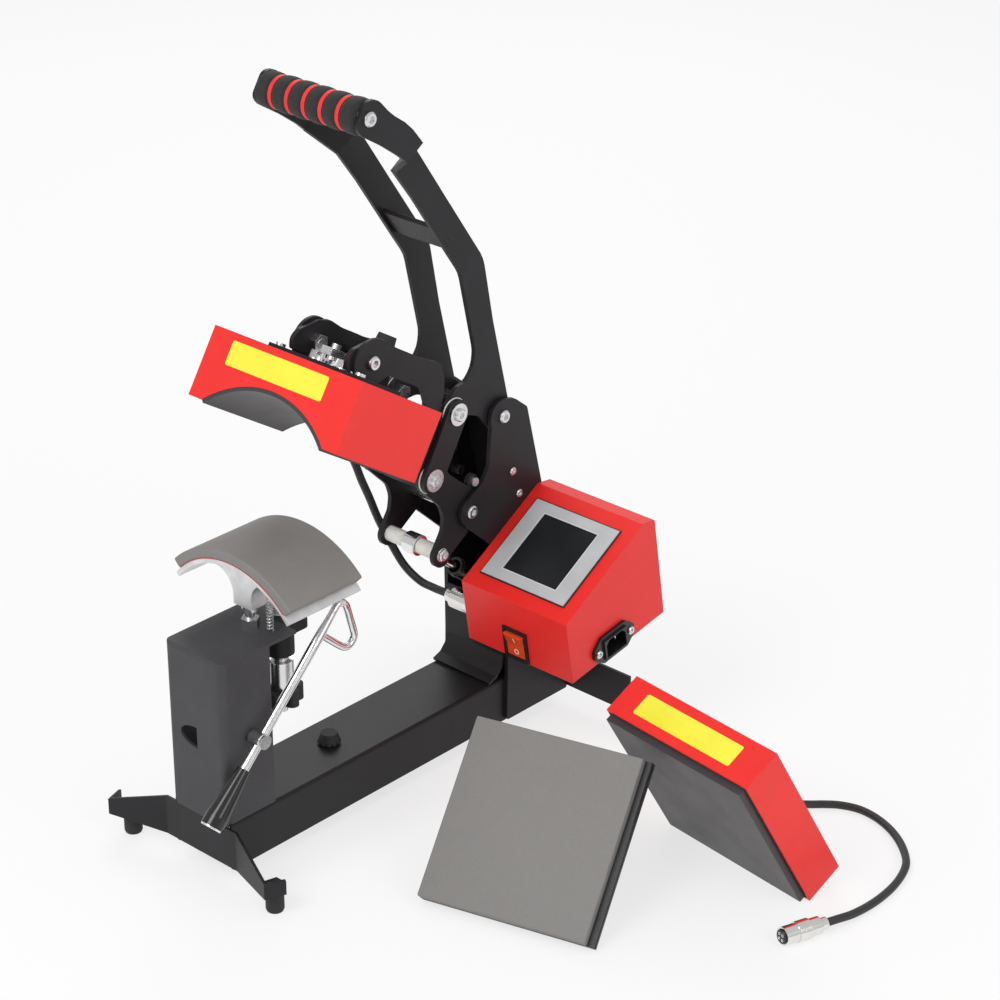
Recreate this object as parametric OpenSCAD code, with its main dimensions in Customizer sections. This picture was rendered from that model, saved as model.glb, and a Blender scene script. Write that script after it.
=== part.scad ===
// Swing-arm cap heat press with a curved head, a spare flat heater and a spare flat pad.
// X runs to the operator's right, Y to the back, Z up. The origin is on the floor,
// midway between the two front rubber feet. The head stands open.

/* [Plate work] */
// Thickness of the laser-cut side plates
plate_t = 4; // [3:0.5:5]
// Clear width between the inner plates of the linkage
inner_gap = 56; // [50:1:64]
// Running gap between the inner and the outer plates
layer_gap = 1; // [0.8:0.1:1.5]
// Thickness of the folded sheet parts
sheet_t = 2.5; // [1.5:0.5:3]

/* [Base] */
// Length of the base beam
beam_len = 395; // [360:5:420]
// Height of the base beam's top above the floor
beam_top = 54; // [48:1:60]
// Height of the base beam's open lower edge
beam_low = 12; // [8:1:16]
// Reach of each splayed leg to the side
leg_reach = 92; // [80:1:110]
// How far a splayed leg stands out past the beam's end
leg_splay = 18; // [10:1:26]
// Distance from the middle to a rubber foot
foot_x = 84; // [74:1:88]
// Distance from the middle to a rear rubber foot
rear_foot_x = 100; // [92:1:104]
// Diameter of a rubber foot
foot_d = 15; // [12:0.5:18]
// Height of a rubber foot
foot_h = 20; // [18:0.5:22]
// Distance of the knob on the beam from the front
beam_knob_y = 143; // [110:1:200]

/* [Pedestal and curved platen] */
// Height of the pedestal's top surface
ped_top = 197; // [185:1:205]
// Depth of the pedestal's closed sides
ped_depth = 51; // [45:1:60]
// Depth of the pedestal's top plate
ped_top_depth = 80; // [72:1:84]
// Radius of the pedestal's upright bends
bend_r = 7; // [4:0.5:9]
// Radius of the bend along the pedestal's upper front edge
top_bend_r = 3.5; // [3:0.5:6]
// Distance of the platen post from the front
post_y = 92; // [88:1:96]
// Radius of the curved pad's working face
pad_r = 94; // [91:0.5:94.5]
// Half the width of the curved pad
pad_half = 66; // [60:1:66]
// Height of the curved pad's crown above the floor
pad_top = 266.8; // [262:0.1:267]
// Thickness of the silicone on the curved platen
pad_t = 9; // [6:0.5:10]
// Thickness of the aluminium saddle under the silicone
saddle_t = 4; // [3:0.5:6]
// Distance from the front to the curved pad's front edge
pad_front = 43; // [38:1:46]
// Length of the curved pad from front to back
pad_len = 79; // [72:1:80]

/* [Linkage] */
// Distance of the handle pivot from the front
pivot_b_y = 315; // [313:0.5:317]
// Height of the handle pivot
pivot_b_z = 303.5; // [302:0.5:305]
// Distance of the head pivot from the front
pivot_a_y = 276; // [275:0.5:277]
// Height of the head pivot
pivot_a_z = 230.5; // [229:0.5:232]
// Distance of the links' upper pivot from the front
pivot_c_y = 261; // [259:0.5:262]
// Height of the links' upper pivot
pivot_c_z = 323.3; // [322.5:0.1:324.5]
// Distance of the links' lower pivot from the front
pivot_d_y = 232.5; // [231:0.5:234]
// Height of the links' lower pivot
pivot_d_z = 274.5; // [273:0.5:276]
// Diameter of the pivot shafts
pivot_d = 10; // [8:0.5:11]
// Radial clearance in a turning bore
run_gap = 0.05; // [0.02:0.01:0.08]
// Half the width of a link plate
link_half = 12; // [10.5:0.5:13]

/* [Grip] */
// Distance of the grip's axis from the front
grip_y = 148.7; // [144:0.5:152]
// Height of the grip's axis
grip_z = 603; // [598:0.5:608]
// Free length of the grip between its end plates
grip_len = 104; // [96:1:112]
// Diameter of the foam grip
foam_d = 28.6; // [26:0.2:30]
// Width of one coloured ring in the grip
ring_w = 3.8; // [2:0.2:5]

/* [Heating head] */
// Tilt of the open head from level, in degrees
head_tilt = 32.5; // [31.5:0.5:33]
// Width of the heater housing
head_w = 164; // [160:1:170]
// Depth of the heater housing from front to back
head_len = 99; // [96:1:102]
// Height of the heater housing
head_h = 58.3; // [56:0.1:60]
// Wall of the heater housing
head_wall = 1.5; // [1:0.1:2]
// Gap between the closed heating plate and the curved pad
press_gap = 2; // [1.8:0.1:2.4]
// Thickness of the curved heating plate
heat_t = 3; // [2.5:0.5:4]
// Half the width of the arch at the housing's lower edge
arch_half = 67; // [66:0.5:68]

/* [Control box] */
// Width of the control box
box_w = 115; // [108:1:122]
// Wall of the control box
box_wall = 1.5; // [1:0.1:2]
// Width of the display frame
bezel_w = 90; // [80:1:94]
// Height of the display frame along the slope
bezel_h = 81; // [74:1:84]
// Width of the display glass
screen_w = 58; // [50:1:66]
// Height of the display glass along the slope
screen_h = 60; // [52:1:64]
// Width of the power switch
switch_w = 26; // [22:1:28]
// Height of the power switch
switch_h = 30.5; // [26:0.5:31]
// Distance between the power inlet's screws
inlet_pitch = 40; // [38:0.5:42]

/* [Gas spring] */
// Diameter of the gas cylinder
gas_d = 16; // [15:0.5:17]
// Diameter of the gas spring's rod
gas_rod_d = 7; // [6:0.5:7]

/* [Tension lever] */
// Diameter of the lever's rod
lever_d = 8; // [7:0.5:9]
// Diameter of the lever grip's thick end
lever_grip_d = 19; // [16:0.5:20]
// Length of the lever grip
lever_grip_len = 50; // [42:1:56]

/* [Flat accessories] */
// Edge length of the flat silicone pad
flat_size = 150; // [140:1:156]
// Thickness of the flat silicone pad
flat_pad_t = 8; // [5:0.5:10]
// Thickness of the flat pad's base plate
flat_base_t = 8; // [6:0.5:10]
// Lean of the flat pad from the floor, in degrees
flat_lean = 46.5; // [44:0.5:49]
// Edge length of the spare heater
spare_size = 155; // [148:1:160]
// Depth of the spare heater's housing
spare_depth = 37; // [32:1:42]
// Lean of the spare heater past upright, in degrees
spare_lean = 30; // [28:0.5:32]

/* [Cables] */
// Diameter of the head's cable
head_cable_d = 7; // [6:0.5:8]
// Diameter of the spare heater's lead
lead_d = 6.6; // [6:0.2:7]

/* [Hidden] */
$fn = 48;

paint_black = "#2b2a2d";
paint_red = "#e8392f";
steel = "#c9c9c9";
grey_rubber = "#7f7e78";

// Layers of the plate work, measured from the middle
in_x = inner_gap / 2;
mid_x = in_x + plate_t;
out_x = mid_x + layer_gap;
far_x = out_x + plate_t;
fit = 0.2;
pivot_r = pivot_d / 2;
bore_r = pivot_r + run_gap;
head_screw_r = 5.5;
head_screw_h = 3;

pivot_a = [pivot_a_y, pivot_a_z];
pivot_b = [pivot_b_y, pivot_b_z];
pivot_c = [pivot_c_y, pivot_c_z];
pivot_d_at = [pivot_d_y, pivot_d_z];
shaft_at = pivot_a + [-29.5, -30.5];
gas_at = pivot_a + [70, -112.5];
grip_at = [grip_y, grip_z];
beam_end = 3 + beam_len;

// Extrudes an outline drawn in the Y-Z plane along X
module yz(x0, t) {
    translate([x0, 0, 0]) rotate([90, 0, 90]) linear_extrude(t) children();
}
// Draws the children on both sides of the middle plane
module pair() {
    children();
    mirror([1, 0, 0]) children();
}
// Round bar along X at a point of the Y-Z plane
module bar_x(at, r, x0, x1) {
    translate([x0, at.x, at.y]) rotate([0, 90, 0]) cylinder(r = r, h = x1 - x0);
}
// Round spot in an outline
module spot(at, r) {
    translate(at) circle(r);
}
// Hexagonal prism along Z, given across its flats
module hex(af, h) {
    cylinder(d = af / cos(30), h = h, $fn = 6);
}
// Socket head along +X with a hex recess, seated at x0
module button_head(at, x0, r = 5.5, h = 3) {
    translate([x0, at.x, at.y]) rotate([0, 90, 0]) difference() {
        union() {
            cylinder(r = r, h = h * 0.6);
            translate([0, 0, h * 0.6]) cylinder(r1 = r, r2 = r * 0.8, h = h * 0.4);
        }
        translate([0, 0, h * 0.35]) hex(r * 0.9, h);
    }
}
function unit(v) = v / norm(v);
// Points of one rounded corner; a, b and c are [y, z, radius]
function corner(a, b, c, step = 18) =
    let (p = [b.x, b.y], u = unit([a.x, a.y] - p), v = unit([c.x, c.y] - p),
         half = acos(max(-1, min(1, u * v))) / 2)
    (half > 88 || b.z <= 0.05) ? [p] :
    let (reach = min(b.z / tan(half), norm([a.x, a.y] - p) * 0.49, norm([c.x, c.y] - p) * 0.49),
         r = reach * tan(half), centre = p + unit(u + v) * r / sin(half),
         s = p + u * reach - centre, e = p + v * reach - centre,
         a0 = atan2(s.y, s.x), turn = atan2(s.x * e.y - s.y * e.x, s * e),
         n = max(1, ceil(abs(turn) / step)))
    [for (i = [0 : n]) centre + r * [cos(a0 + turn * i / n), sin(a0 + turn * i / n)]];
// Outline with every corner rounded by its own radius
function rounded(p) = let (n = len(p))
    [for (i = [0 : n - 1]) each corner(p[(i + n - 1) % n], p[i], p[(i + 1) % n])];
// The same outline measured from a pivot
function from(at, p) = [for (q = p) [q.x + at.x, q.y + at.y, q.z]];
// Where two lines meet, each given by a point and a direction
function meet(p, u, q, v) = p + u * ((q - p).x * v.y - (q - p).y * v.x) / (u.x * v.y - u.y * v.x);
// Convex outline drawn in by t; the outline runs anticlockwise
function inset(p, t) = let (n = len(p))
    [for (i = [0 : n - 1]) let (a = p[(i + n - 1) % n], b = p[i], c = p[(i + 1) % n],
        u = unit(b - a), v = unit(c - b))
        meet(b + t * [-u.y, u.x], u, b + t * [-v.y, v.x], v)];
// Folded strip of sheet along X: a path in the Y-Z plane with the sheet on its left side
module strip(path, x0, t, w) {
    yz(x0, w) for (i = [0 : len(path) - 2]) {
        u = unit(path[i + 1] - path[i]);
        left = t * [-u.y, u.x];
        polygon([path[i], path[i + 1], path[i + 1] + left, path[i] + left]);
        if (i > 0) intersection() {
            spot(path[i], t);
            v = unit(path[i] - path[i - 1]);
            polygon([path[i], path[i] + 2 * t * [-u.y, u.x], path[i] + 2 * t * [-v.y, v.x]]);
        }
    }
}

// Base
leg_low = 21;
leg_high = 35;
plate_low = 16;
plate_high = 51;
plate_half = 41;
hook_back = 17;
hook_out = 7;
hook_x = leg_reach + hook_out + 1;
// Plan of one leg: out from the plate, splayed forward, then back past its foot
leg_points = [[plate_half - 6, 0], [plate_half, 0], [leg_reach, -leg_splay],
    [leg_reach + hook_out, hook_back - leg_splay]];
module leg_plan() {
    for (i = [0 : len(leg_points) - 2]) {
        d = unit(leg_points[i + 1] - leg_points[i]);
        left = sheet_t * [-d.y, d.x];
        polygon([leg_points[i], leg_points[i + 1], leg_points[i + 1] + left, leg_points[i] + left]);
    }
    // round of the bend between the plate and the leg
    bend = leg_points[1];
    d = unit(leg_points[2] - bend);
    intersection() {
        spot(bend, sheet_t);
        polygon([bend + [-1, 0], bend, bend + 0.5 * d, bend + 0.5 * d + 9 * [-d.y, d.x], bend + [-1, 9]]);
    }
}
module foot_plate() {
    difference() {
        union() {
            intersection() {
                translate([0, 0, plate_low - 1]) linear_extrude(plate_high) {
                    translate([-plate_half, 0]) square([plate_half * 2, sheet_t]);
                    pair() leg_plan();
                }
                translate([0, 100, 0]) rotate([90, 0, 0]) linear_extrude(200)
                    for (m = [0, 1]) mirror([m, 0]) polygon([[-1, plate_low], [plate_half, plate_low],
                        [leg_reach, leg_low], [hook_x, leg_low], [hook_x, leg_high - 2],
                        [leg_reach, leg_high], [plate_half, plate_high], [-1, plate_high]]);
            }
            // tab over the foot, joined to the leg's inner side
            pair() translate([0, 0, foot_h + 0.02]) linear_extrude(sheet_t) polygon([
                leg_points[1] + 0.6 * (leg_points[2] - leg_points[1]) + [0, sheet_t / 2],
                leg_points[2] + [-1.2, sheet_t / 2], leg_points[3] + [-sheet_t / 2 - 1, -3],
                [foot_x + 4, 9], [foot_x - 7, 9]]);
        }
        pair() translate([foot_x, 0, 0]) cylinder(r = 2.6, h = 60);
    }
}
// The rear plate is straight and of full height, with its feet behind it
rear_foot_y = beam_end + sheet_t + foot_d / 2 + 2;
rear_half = rear_foot_x + foot_d / 2 + 0.5;
module rear_foot_plate() {
    difference() {
        union() {
            translate([-rear_half, beam_end, plate_low]) cube([2 * rear_half, sheet_t, plate_high - plate_low]);
            pair() translate([rear_foot_x - foot_d / 2 - 0.5, beam_end + sheet_t / 2, foot_h + 0.02])
                cube([foot_d + 1, rear_foot_y + foot_d / 2 + 0.5 - beam_end - sheet_t / 2, sheet_t]);
        }
        pair() translate([rear_foot_x, rear_foot_y, 0]) cylinder(r = 2.6, h = 60);
    }
}
module foot_plates() {
    color(paint_black) {
        foot_plate();
        rear_foot_plate();
    }
}
module rubber_feet() {
    color("#1d1d1f") for (at = [[foot_x, 0], [rear_foot_x, rear_foot_y]]) pair() translate([at.x, at.y, 0]) {
        cylinder(r1 = foot_d / 2 - 0.8, r2 = foot_d / 2, h = 2);
        translate([0, 0, 2]) cylinder(d = foot_d, h = foot_h - 2);
        cylinder(r = 2.5, h = foot_h + sheet_t + 2);
    }
}
beam_edge = 3;
beam_wall = sheet_t;
module beam_section(half, top, low, r) {
    translate([-half, low]) square([2 * half, top - low - r]);
    translate([-half + r, low]) square([2 * (half - r), top - low]);
    for (s = [-1, 1]) translate([s * (half - r), top - r]) circle(r);
}
module base_beam() {
    color(paint_black) difference() {
        translate([0, beam_end, 0]) rotate([90, 0, 0]) linear_extrude(beam_len - 0.5) difference() {
            beam_section(out_x, beam_top, beam_low, beam_edge);
            translate([0, -beam_wall]) beam_section(out_x - beam_wall, beam_top, 0, 1);
        }
        translate([0, beam_knob_y, beam_low]) cylinder(r = 4 + run_gap, h = beam_top);
    }
}
module fluted(r, r_top, h, lobes) {
    difference() {
        cylinder(r1 = r, r2 = r_top, h = h);
        for (i = [0 : lobes - 1]) rotate([0, 0, i * 360 / lobes])
            translate([r + 0.7, 0, -1]) cylinder(r = 1.7, h = h + 2, $fn = 16);
    }
}
module beam_knob() {
    color("#19191b") translate([0, beam_knob_y, 0]) {
        translate([0, 0, beam_top + 0.3]) cylinder(r = 7.2, h = 1.5);
        translate([0, 0, beam_top + 1.8]) fluted(10, 6.8, 8.4, 12);
        translate([0, 0, beam_top - 14]) cylinder(r = 4, h = 15);
        translate([0, 0, beam_top - beam_wall - 0.3 - 4]) cylinder(r = 7, h = 4);
    }
}

// Pedestal
ped_foot = plate_high;
slot_x = 1.5;
slot_low = 112;
slot_high = 131;
module ped_block(grow, depth) {
    // plan with rounded front corners, cut by a side view with a rounded front top edge
    half = out_x - grow;
    r = bend_r - grow;
    top_r = top_bend_r - grow;
    intersection() {
        translate([0, 0, ped_foot - 1]) linear_extrude(ped_top) {
            translate([-half + r, grow]) square([2 * (half - r), depth]);
            translate([-half, grow + r]) square([2 * half, depth - r]);
            for (s = [-1, 1]) translate([s * (half - r), grow + r]) circle(r);
        }
        yz(-out_x - 1, 2 * out_x + 2) {
            translate([grow + top_r, ped_foot - 1]) square([depth, ped_top - grow - ped_foot + 1]);
            translate([grow, ped_foot - 1]) square([depth, ped_top - grow - top_r - ped_foot + 1]);
            spot([grow + top_r, ped_top - grow - top_r], top_r);
        }
    }
}
module front_pedestal() {
    color("#39383c") difference() {
        union() {
            difference() {
                ped_block(0, ped_depth);
                ped_block(sheet_t, ped_depth + 5);
            }
            translate([-out_x, bend_r, ped_top - sheet_t])
                cube([2 * out_x, ped_top_depth - bend_r, sheet_t]);
        }
        // the lower front edge stops at the foot plate, the sides stand on the beam
        translate([-out_x - 1, sheet_t, 0]) cube([2 * out_x + 2, ped_top_depth, beam_top + 0.05]);
        translate([-out_x - 1, -1, 0]) cube([2 * out_x + 2, ped_depth, ped_foot]);
        // half-round hole in the front face
        translate([0, sheet_t + 1, 0]) rotate([90, 0, 0]) linear_extrude(sheet_t + 2) intersection() {
            translate([slot_x, (slot_low + slot_high) / 2]) scale([2, 1]) circle((slot_high - slot_low) / 2);
            translate([slot_x - 30, slot_low]) square([30, slot_high - slot_low]);
        }
        bar_x([lever_pivot.x, lever_pivot.y], 4 + run_gap, in_x, out_x + 1);
    }
}

// Curved platen
arc_z = pad_top - pad_r;
module arc_band(r0, r1, half, y0, len, at = [0, 0]) {
    half_angle = asin(half / r1);
    translate([at.x, y0 + len, at.y]) rotate([90, 0, 0]) linear_extrude(len) intersection() {
        difference() {
            circle(r1, $fn = 160);
            circle(r0, $fn = 160);
        }
        polygon([[0, 0], 2 * r1 * [sin(half_angle), cos(half_angle)], [0, 3 * r1],
            2 * r1 * [-sin(half_angle), cos(half_angle)]]);
    }
}
module platen_pad() {
    color(grey_rubber) arc_band(pad_r - pad_t, pad_r, pad_half, pad_front, pad_len, [0, arc_z]);
}
saddle_out = pad_r - pad_t - 0.02;
saddle_in = saddle_out - saddle_t;
rib_half = 10;
rib_front = 54.5;
rib_back = post_y + 13;
rib_low = ped_top + 19;
rib_flare = 20;
rib_flare_z = arc_z + saddle_in - 30;
post_r = 6;
guide_y = 62;
guide_r = 4;
module platen_saddle() {
    color("#e4e4e6") difference() {
        union() {
            arc_band(saddle_in, saddle_out, pad_half - 1.5, pad_front + 1, pad_len - 2, [0, arc_z]);
            // rib that flares into the saddle, cut to the saddle's inner round
            translate([0, rib_back, 0]) rotate([90, 0, 0]) linear_extrude(rib_back - rib_front) difference() {
                intersection() {
                    translate([0, arc_z]) circle(saddle_in + 0.5, $fn = 160);
                    translate([-rib_half - rib_flare, rib_low]) square([2 * (rib_half + rib_flare), 60]);
                }
                for (s = [-1, 1]) translate([s * (rib_half + rib_flare), rib_flare_z]) circle(rib_flare);
                for (s = [-1, 1]) translate([s * (rib_half + rib_flare) - rib_flare, rib_low - 1])
                    square([2 * rib_flare, rib_flare_z - rib_low + 1]);
            }
        }
        translate([0, post_y, rib_low - 1]) cylinder(r = post_r + run_gap, h = 14);
        translate([0, guide_y, rib_low - 1]) cylinder(r = guide_r + run_gap, h = 11);
    }
}
spring_at = [18.5, 66];
spring_top = rib_flare_z + sqrt(pow(rib_flare, 2) - pow(rib_half + rib_flare - spring_at.x + 3, 2)) - 0.4;
// One unbroken tube along a helix, with flat ends
module coil(r, wire_r, z0, z1, turns) {
    ring = 8;
    side = 6;
    n = ring * turns;
    function at(i) = [r * cos(i * 360 / ring), r * sin(i * 360 / ring), z0 + (z1 - z0) * i / n];
    pts = [for (i = [0 : n]) let (a = i * 360 / ring, out = [cos(a), sin(a), 0])
        for (k = [0 : side - 1]) at(i) + wire_r * (cos(k * 60) * out + sin(k * 60) * [0, 0, 1])];
    faces = concat([[for (k = [0 : side - 1]) k]],
        [for (i = [0 : n - 1], k = [0 : side - 1])
            each [[i * side + k, (i + 1) * side + k, i * side + (k + 1) % side],
                [i * side + (k + 1) % side, (i + 1) * side + k, (i + 1) * side + (k + 1) % side]]],
        [[for (k = [side - 1 : -1 : 0]) n * side + k]]);
    polyhedron(points = pts, faces = faces);
}
spring_wire = 0.55;
spring_turns = 14;
// Guide pin between the arm and the saddle's rib, with its hex collar
module platen_guide() {
    color(steel) translate([0, guide_y, ped_top]) {
        cylinder(r = guide_r, h = rib_low - ped_top + 8);
        hex(13, 7);
        translate([0, 0, rib_low - ped_top - 6]) cylinder(r = 6.5, h = 5.7);
    }
}
module platen_spring() {
    color(steel) translate([spring_at.x, spring_at.y, 0])
        coil(2.4, spring_wire, ped_top + spring_wire, spring_top - spring_wire, spring_turns);
}
echo(least_gap_between_spring_turns = (spring_top - ped_top - 2 * spring_wire) / spring_turns - 2 * spring_wire);

// Platen arm, its boss and the tension stud under it
arm_half = 22;
arm_t = 10;
arm_front = 12;
arm_back = post_y + 14;
boss_r = 12;
boss_low = 161;
stud_r = 6.75;
module platen_arm() {
    color("#232225") difference() {
        union() {
            translate([-arm_half, arm_front, ped_top - arm_t])
                cube([2 * arm_half, ped_top_depth - arm_front, arm_t - sheet_t]);
            translate([0, ped_top_depth + 0.01, ped_top - arm_t]) linear_extrude(arm_t)
                polygon(rounded([[-arm_half, 0, 0], [arm_half, 0, 0],
                    [arm_half, arm_back - ped_top_depth, 6], [-arm_half, arm_back - ped_top_depth, 6]]));
            translate([0, post_y, boss_low]) cylinder(r = boss_r, h = ped_top - arm_t - boss_low + 1);
        }
        translate([0, post_y, boss_low - 1]) cylinder(r = stud_r + run_gap, h = 60);
    }
}
collar_low = 131;
collar_high = 155;
collar_r = 10.8;
knob_low = 117;
module tension_stud() {
    color(steel) translate([0, post_y, 0]) {
        difference() {
            union() {
                translate([0, 0, collar_high - 1]) cylinder(r = stud_r, h = ped_top - collar_high + 1);
                translate([0, 0, ped_top]) cylinder(r = post_r, h = rib_low - ped_top + 10);
                translate([0, 0, collar_low]) cylinder(r = collar_r, h = collar_high - collar_low);
                translate([0, 0, knob_low - 9]) cylinder(r = 5, h = 30);
            }
            // thread grooves on the part that shows
            for (i = [0 : 3]) translate([0, 0, collar_high + 0.6 + i * 1.5]) difference() {
                cylinder(r = stud_r + 1, h = 0.6);
                translate([0, 0, -0.1]) cylinder(r = stud_r - 0.6, h = 0.8);
            }
        }
        // set screw in the collar
        rotate([0, 0, -50]) translate([0, 0, 143]) rotate([90, 0, 0])
            translate([0, 0, collar_r - 0.6]) cylinder(r = 3.4, h = 2.4);
    }
}
knob_r = 17;
module tension_knob() {
    color("#1b1b1d") translate([0, post_y, knob_low]) difference() {
        union() {
            cylinder(r = knob_r - 4, h = 13.5);
            for (i = [0 : 5]) rotate([0, 0, i * 60]) translate([knob_r - 4.5, 0, 0]) cylinder(r = 5.5, h = 13.5);
        }
        translate([0, 0, -1]) cylinder(r = 5 + run_gap, h = 20);
    }
}

// Tension lever beside the pedestal
lever_x = 44;
lever_pivot = [28, 125];
lever_slope = 44.6;
lever_r = lever_d / 2;
lever_out = 124;
lever_in = 78;
module lever_frame() {
    translate([lever_x, lever_pivot.x, lever_pivot.y]) rotate([lever_slope, 0, 0]) children();
}
// Round wire through a list of points of the lever's own plane
module wire(p, r) {
    for (i = [0 : len(p) - 2]) {
        d = p[i + 1] - p[i];
        translate([0, p[i].x, p[i].y]) rotate([atan2(d.y, d.x) - 90, 0, 0]) {
            cylinder(r = r, h = norm(d), $fn = 20);
            if (i > 0) sphere(r + 0.15, $fn = 20);
        }
    }
}
loop_path = [[94, 0], [lever_out - 1, 0.5], [lever_out + 2, -7], [lever_out - 12, -34],
    [lever_out - 19, -38], [lever_out - 27, -34], [95, -1]];
module lever_rod() {
    color(steel) difference() {
        lever_frame() {
            wire([[-lever_in + 1, 0], [94, 0]], lever_r);
            wire(loop_path, lever_r - 0.8);
            translate([0, -lever_in, 0]) rotate([-90, 0, 0]) cylinder(d = lever_grip_d - 1, h = 2);
            rotate([0, 90, 0]) translate([0, 0, -8.5]) cylinder(r = 6.5, h = 12.5);
        }
        bar_x(lever_pivot, 4 + run_gap, lever_x - 12, lever_x + 12);
    }
}
module lever_grip() {
    color("#161618") lever_frame() translate([0, -lever_in + 2.05, 0]) rotate([-90, 0, 0]) difference() {
        union() {
            cylinder(d = lever_grip_d, h = 8);
            translate([0, 0, 8]) cylinder(d1 = lever_grip_d, d2 = lever_d + 3, h = lever_grip_len - 8);
        }
        translate([0, 0, -1]) cylinder(r = lever_r + run_gap, h = lever_grip_len + 2);
    }
}

// Upright plates, standing outside the beam
upright_outline = [
    [beam_end - pivot_a_y, 14 - pivot_a_z, 2], [86, -1, 30], [68, 72.5, 5],
    [50, 87, 12], [26, 80, 12], [24, 57, 12], [22, 33, 14], [15, 22, 10], [1, 14, 12],
    [-9, 6, 8], [-8, -12, 10], [0, -17, 8], [21, -36.5, 6], [44, -58, 8], [45, -150, 10],
    [44, 14 - pivot_a_z, 2]
];
module upright_shape() {
    polygon(rounded(from(pivot_a, upright_outline)));
    spot(pivot_b, 15);
    spot(pivot_a, 12);
}
web_screws = [[50, 19.5], [58, -3.5]];
module upright_plates() {
    color(paint_black) difference() {
        pair() upright_plate();
        for (s = box_screws) bar_x(s, 2.5 + run_gap, out_x - 1, far_x + 1);
    }
}
module upright_plate() {
    difference() {
        yz(out_x, plate_t) upright_shape();
        bar_x(pivot_a, bore_r, out_x - 1, far_x + 1);
        bar_x(pivot_b, bore_r, out_x - 1, far_x + 1);
        bar_x(gas_at, 5 + run_gap, out_x - 1, far_x + 1);
        for (s = web_screws) bar_x(pivot_a + s, 2.5 + run_gap, out_x - 1, far_x + 1);
    }
}
web_x = out_x - 0.05;
web_y = beam_end - 79;
module upright_webs() {
    color(paint_black) {
        // front web: down between the plates and forward onto the beam
        strip([[web_y, beam_top + 70], [web_y, beam_top + 22], [web_y - 3, beam_top + 12.5],
            [web_y - 9, beam_top + 6], [web_y - 18, beam_top + sheet_t + 0.2]], -web_x, sheet_t, 2 * web_x);
        // rear cover: sloping top flange, then down the rear edge
        strip([[beam_end - 3, beam_top + 1], [beam_end - 41, pivot_a_z - 3], [pivot_a_y + 65.5, pivot_b_z - 4],
            [pivot_b_y + 15, pivot_b_z + 7.5]], -web_x, sheet_t, 2 * web_x);
    }
}

// Pivot pins of the frame: handle pivot, head pivot, gas spring pin and lever pin
module headed_shaft(at, r, head_r, head_h) {
    bar_x(at, r, -far_x, far_x);
    pair() button_head(at, far_x, head_r, head_h);
}
module pivot_shafts() {
    color(steel) {
        headed_shaft(pivot_a, pivot_r, head_screw_r + 0.2, head_screw_h);
        headed_shaft(pivot_b, pivot_r, head_screw_r + 0.2, head_screw_h);
        bar_x(gas_at, 5, -far_x, far_x);
        bar_x(lever_pivot, 4, out_x - 8, lever_x + 5);
        bar_x(lever_pivot, 6.5, out_x - sheet_t - 4, out_x - sheet_t);
        bar_x(lever_pivot, 6, lever_x + 4.2, lever_x + 6);
    }
}
module panel_screws() {
    color("#dcdcdc") {
        pair() for (s = web_screws) {
            bar_x(pivot_a + s, 2.5, out_x - 4, far_x);
            button_head(pivot_a + s, far_x, 3.6, 1.8);
            translate([out_x - 4, pivot_a_y + s.x, pivot_a_z + s.y]) rotate([0, 90, 0]) hex(8, 4);
        }
        for (s = box_screws) {
            bar_x(s, 2.5, out_x, far_x + box_wall + 2.5);
            mirror([1, 0, 0]) button_head(s, -out_x, 4.4, 2.2);
        }
        // the inlet's two screws
        for (s = [-1, 1]) translate([box_right, 0, 0])
            bar_x(inlet_at + s * inlet_pitch / 2 * inlet_dir, 1.9, -3, inlet_flange_t);
        for (s = [-1, 1])
            button_head(inlet_at + s * inlet_pitch / 2 * inlet_dir, box_right + inlet_flange_t, 3.6, 1.8);
    }
}

// Control box, bolted to the right upright plate
box_left = far_x;
box_right = box_left + box_w;
box_front_top = [264, 171.5];
box_profile = [[273, 114], [388, 135], [373, 226], [358, 228], box_front_top];
box_screws = [[334, 196], [352, 150], [372, 190]];
slope = unit(box_profile[3] - box_front_top);
front_down = unit(box_profile[0] - box_front_top);
inlet_dir = unit([40, 7]);
inlet_at = [321.7, 134];
inlet_flange_t = 3;
inlet_up = [-inlet_dir.y, inlet_dir.x];
display_x = box_left + 56.5;
display_s = 14;
switch_x = box_left + 55.5;
switch_s = 27.5;
switch_depth = 16;
socket_at = [281, 141];
socket_r = 8;
// Frame on the sloping face: local x to the right, y up the slope, z out of the face
module on_slope(x, s) {
    translate([x, box_front_top.x + slope.x * s, box_front_top.y + slope.y * s])
        rotate([atan2(slope.y, slope.x), 0, 0]) children();
}
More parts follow.
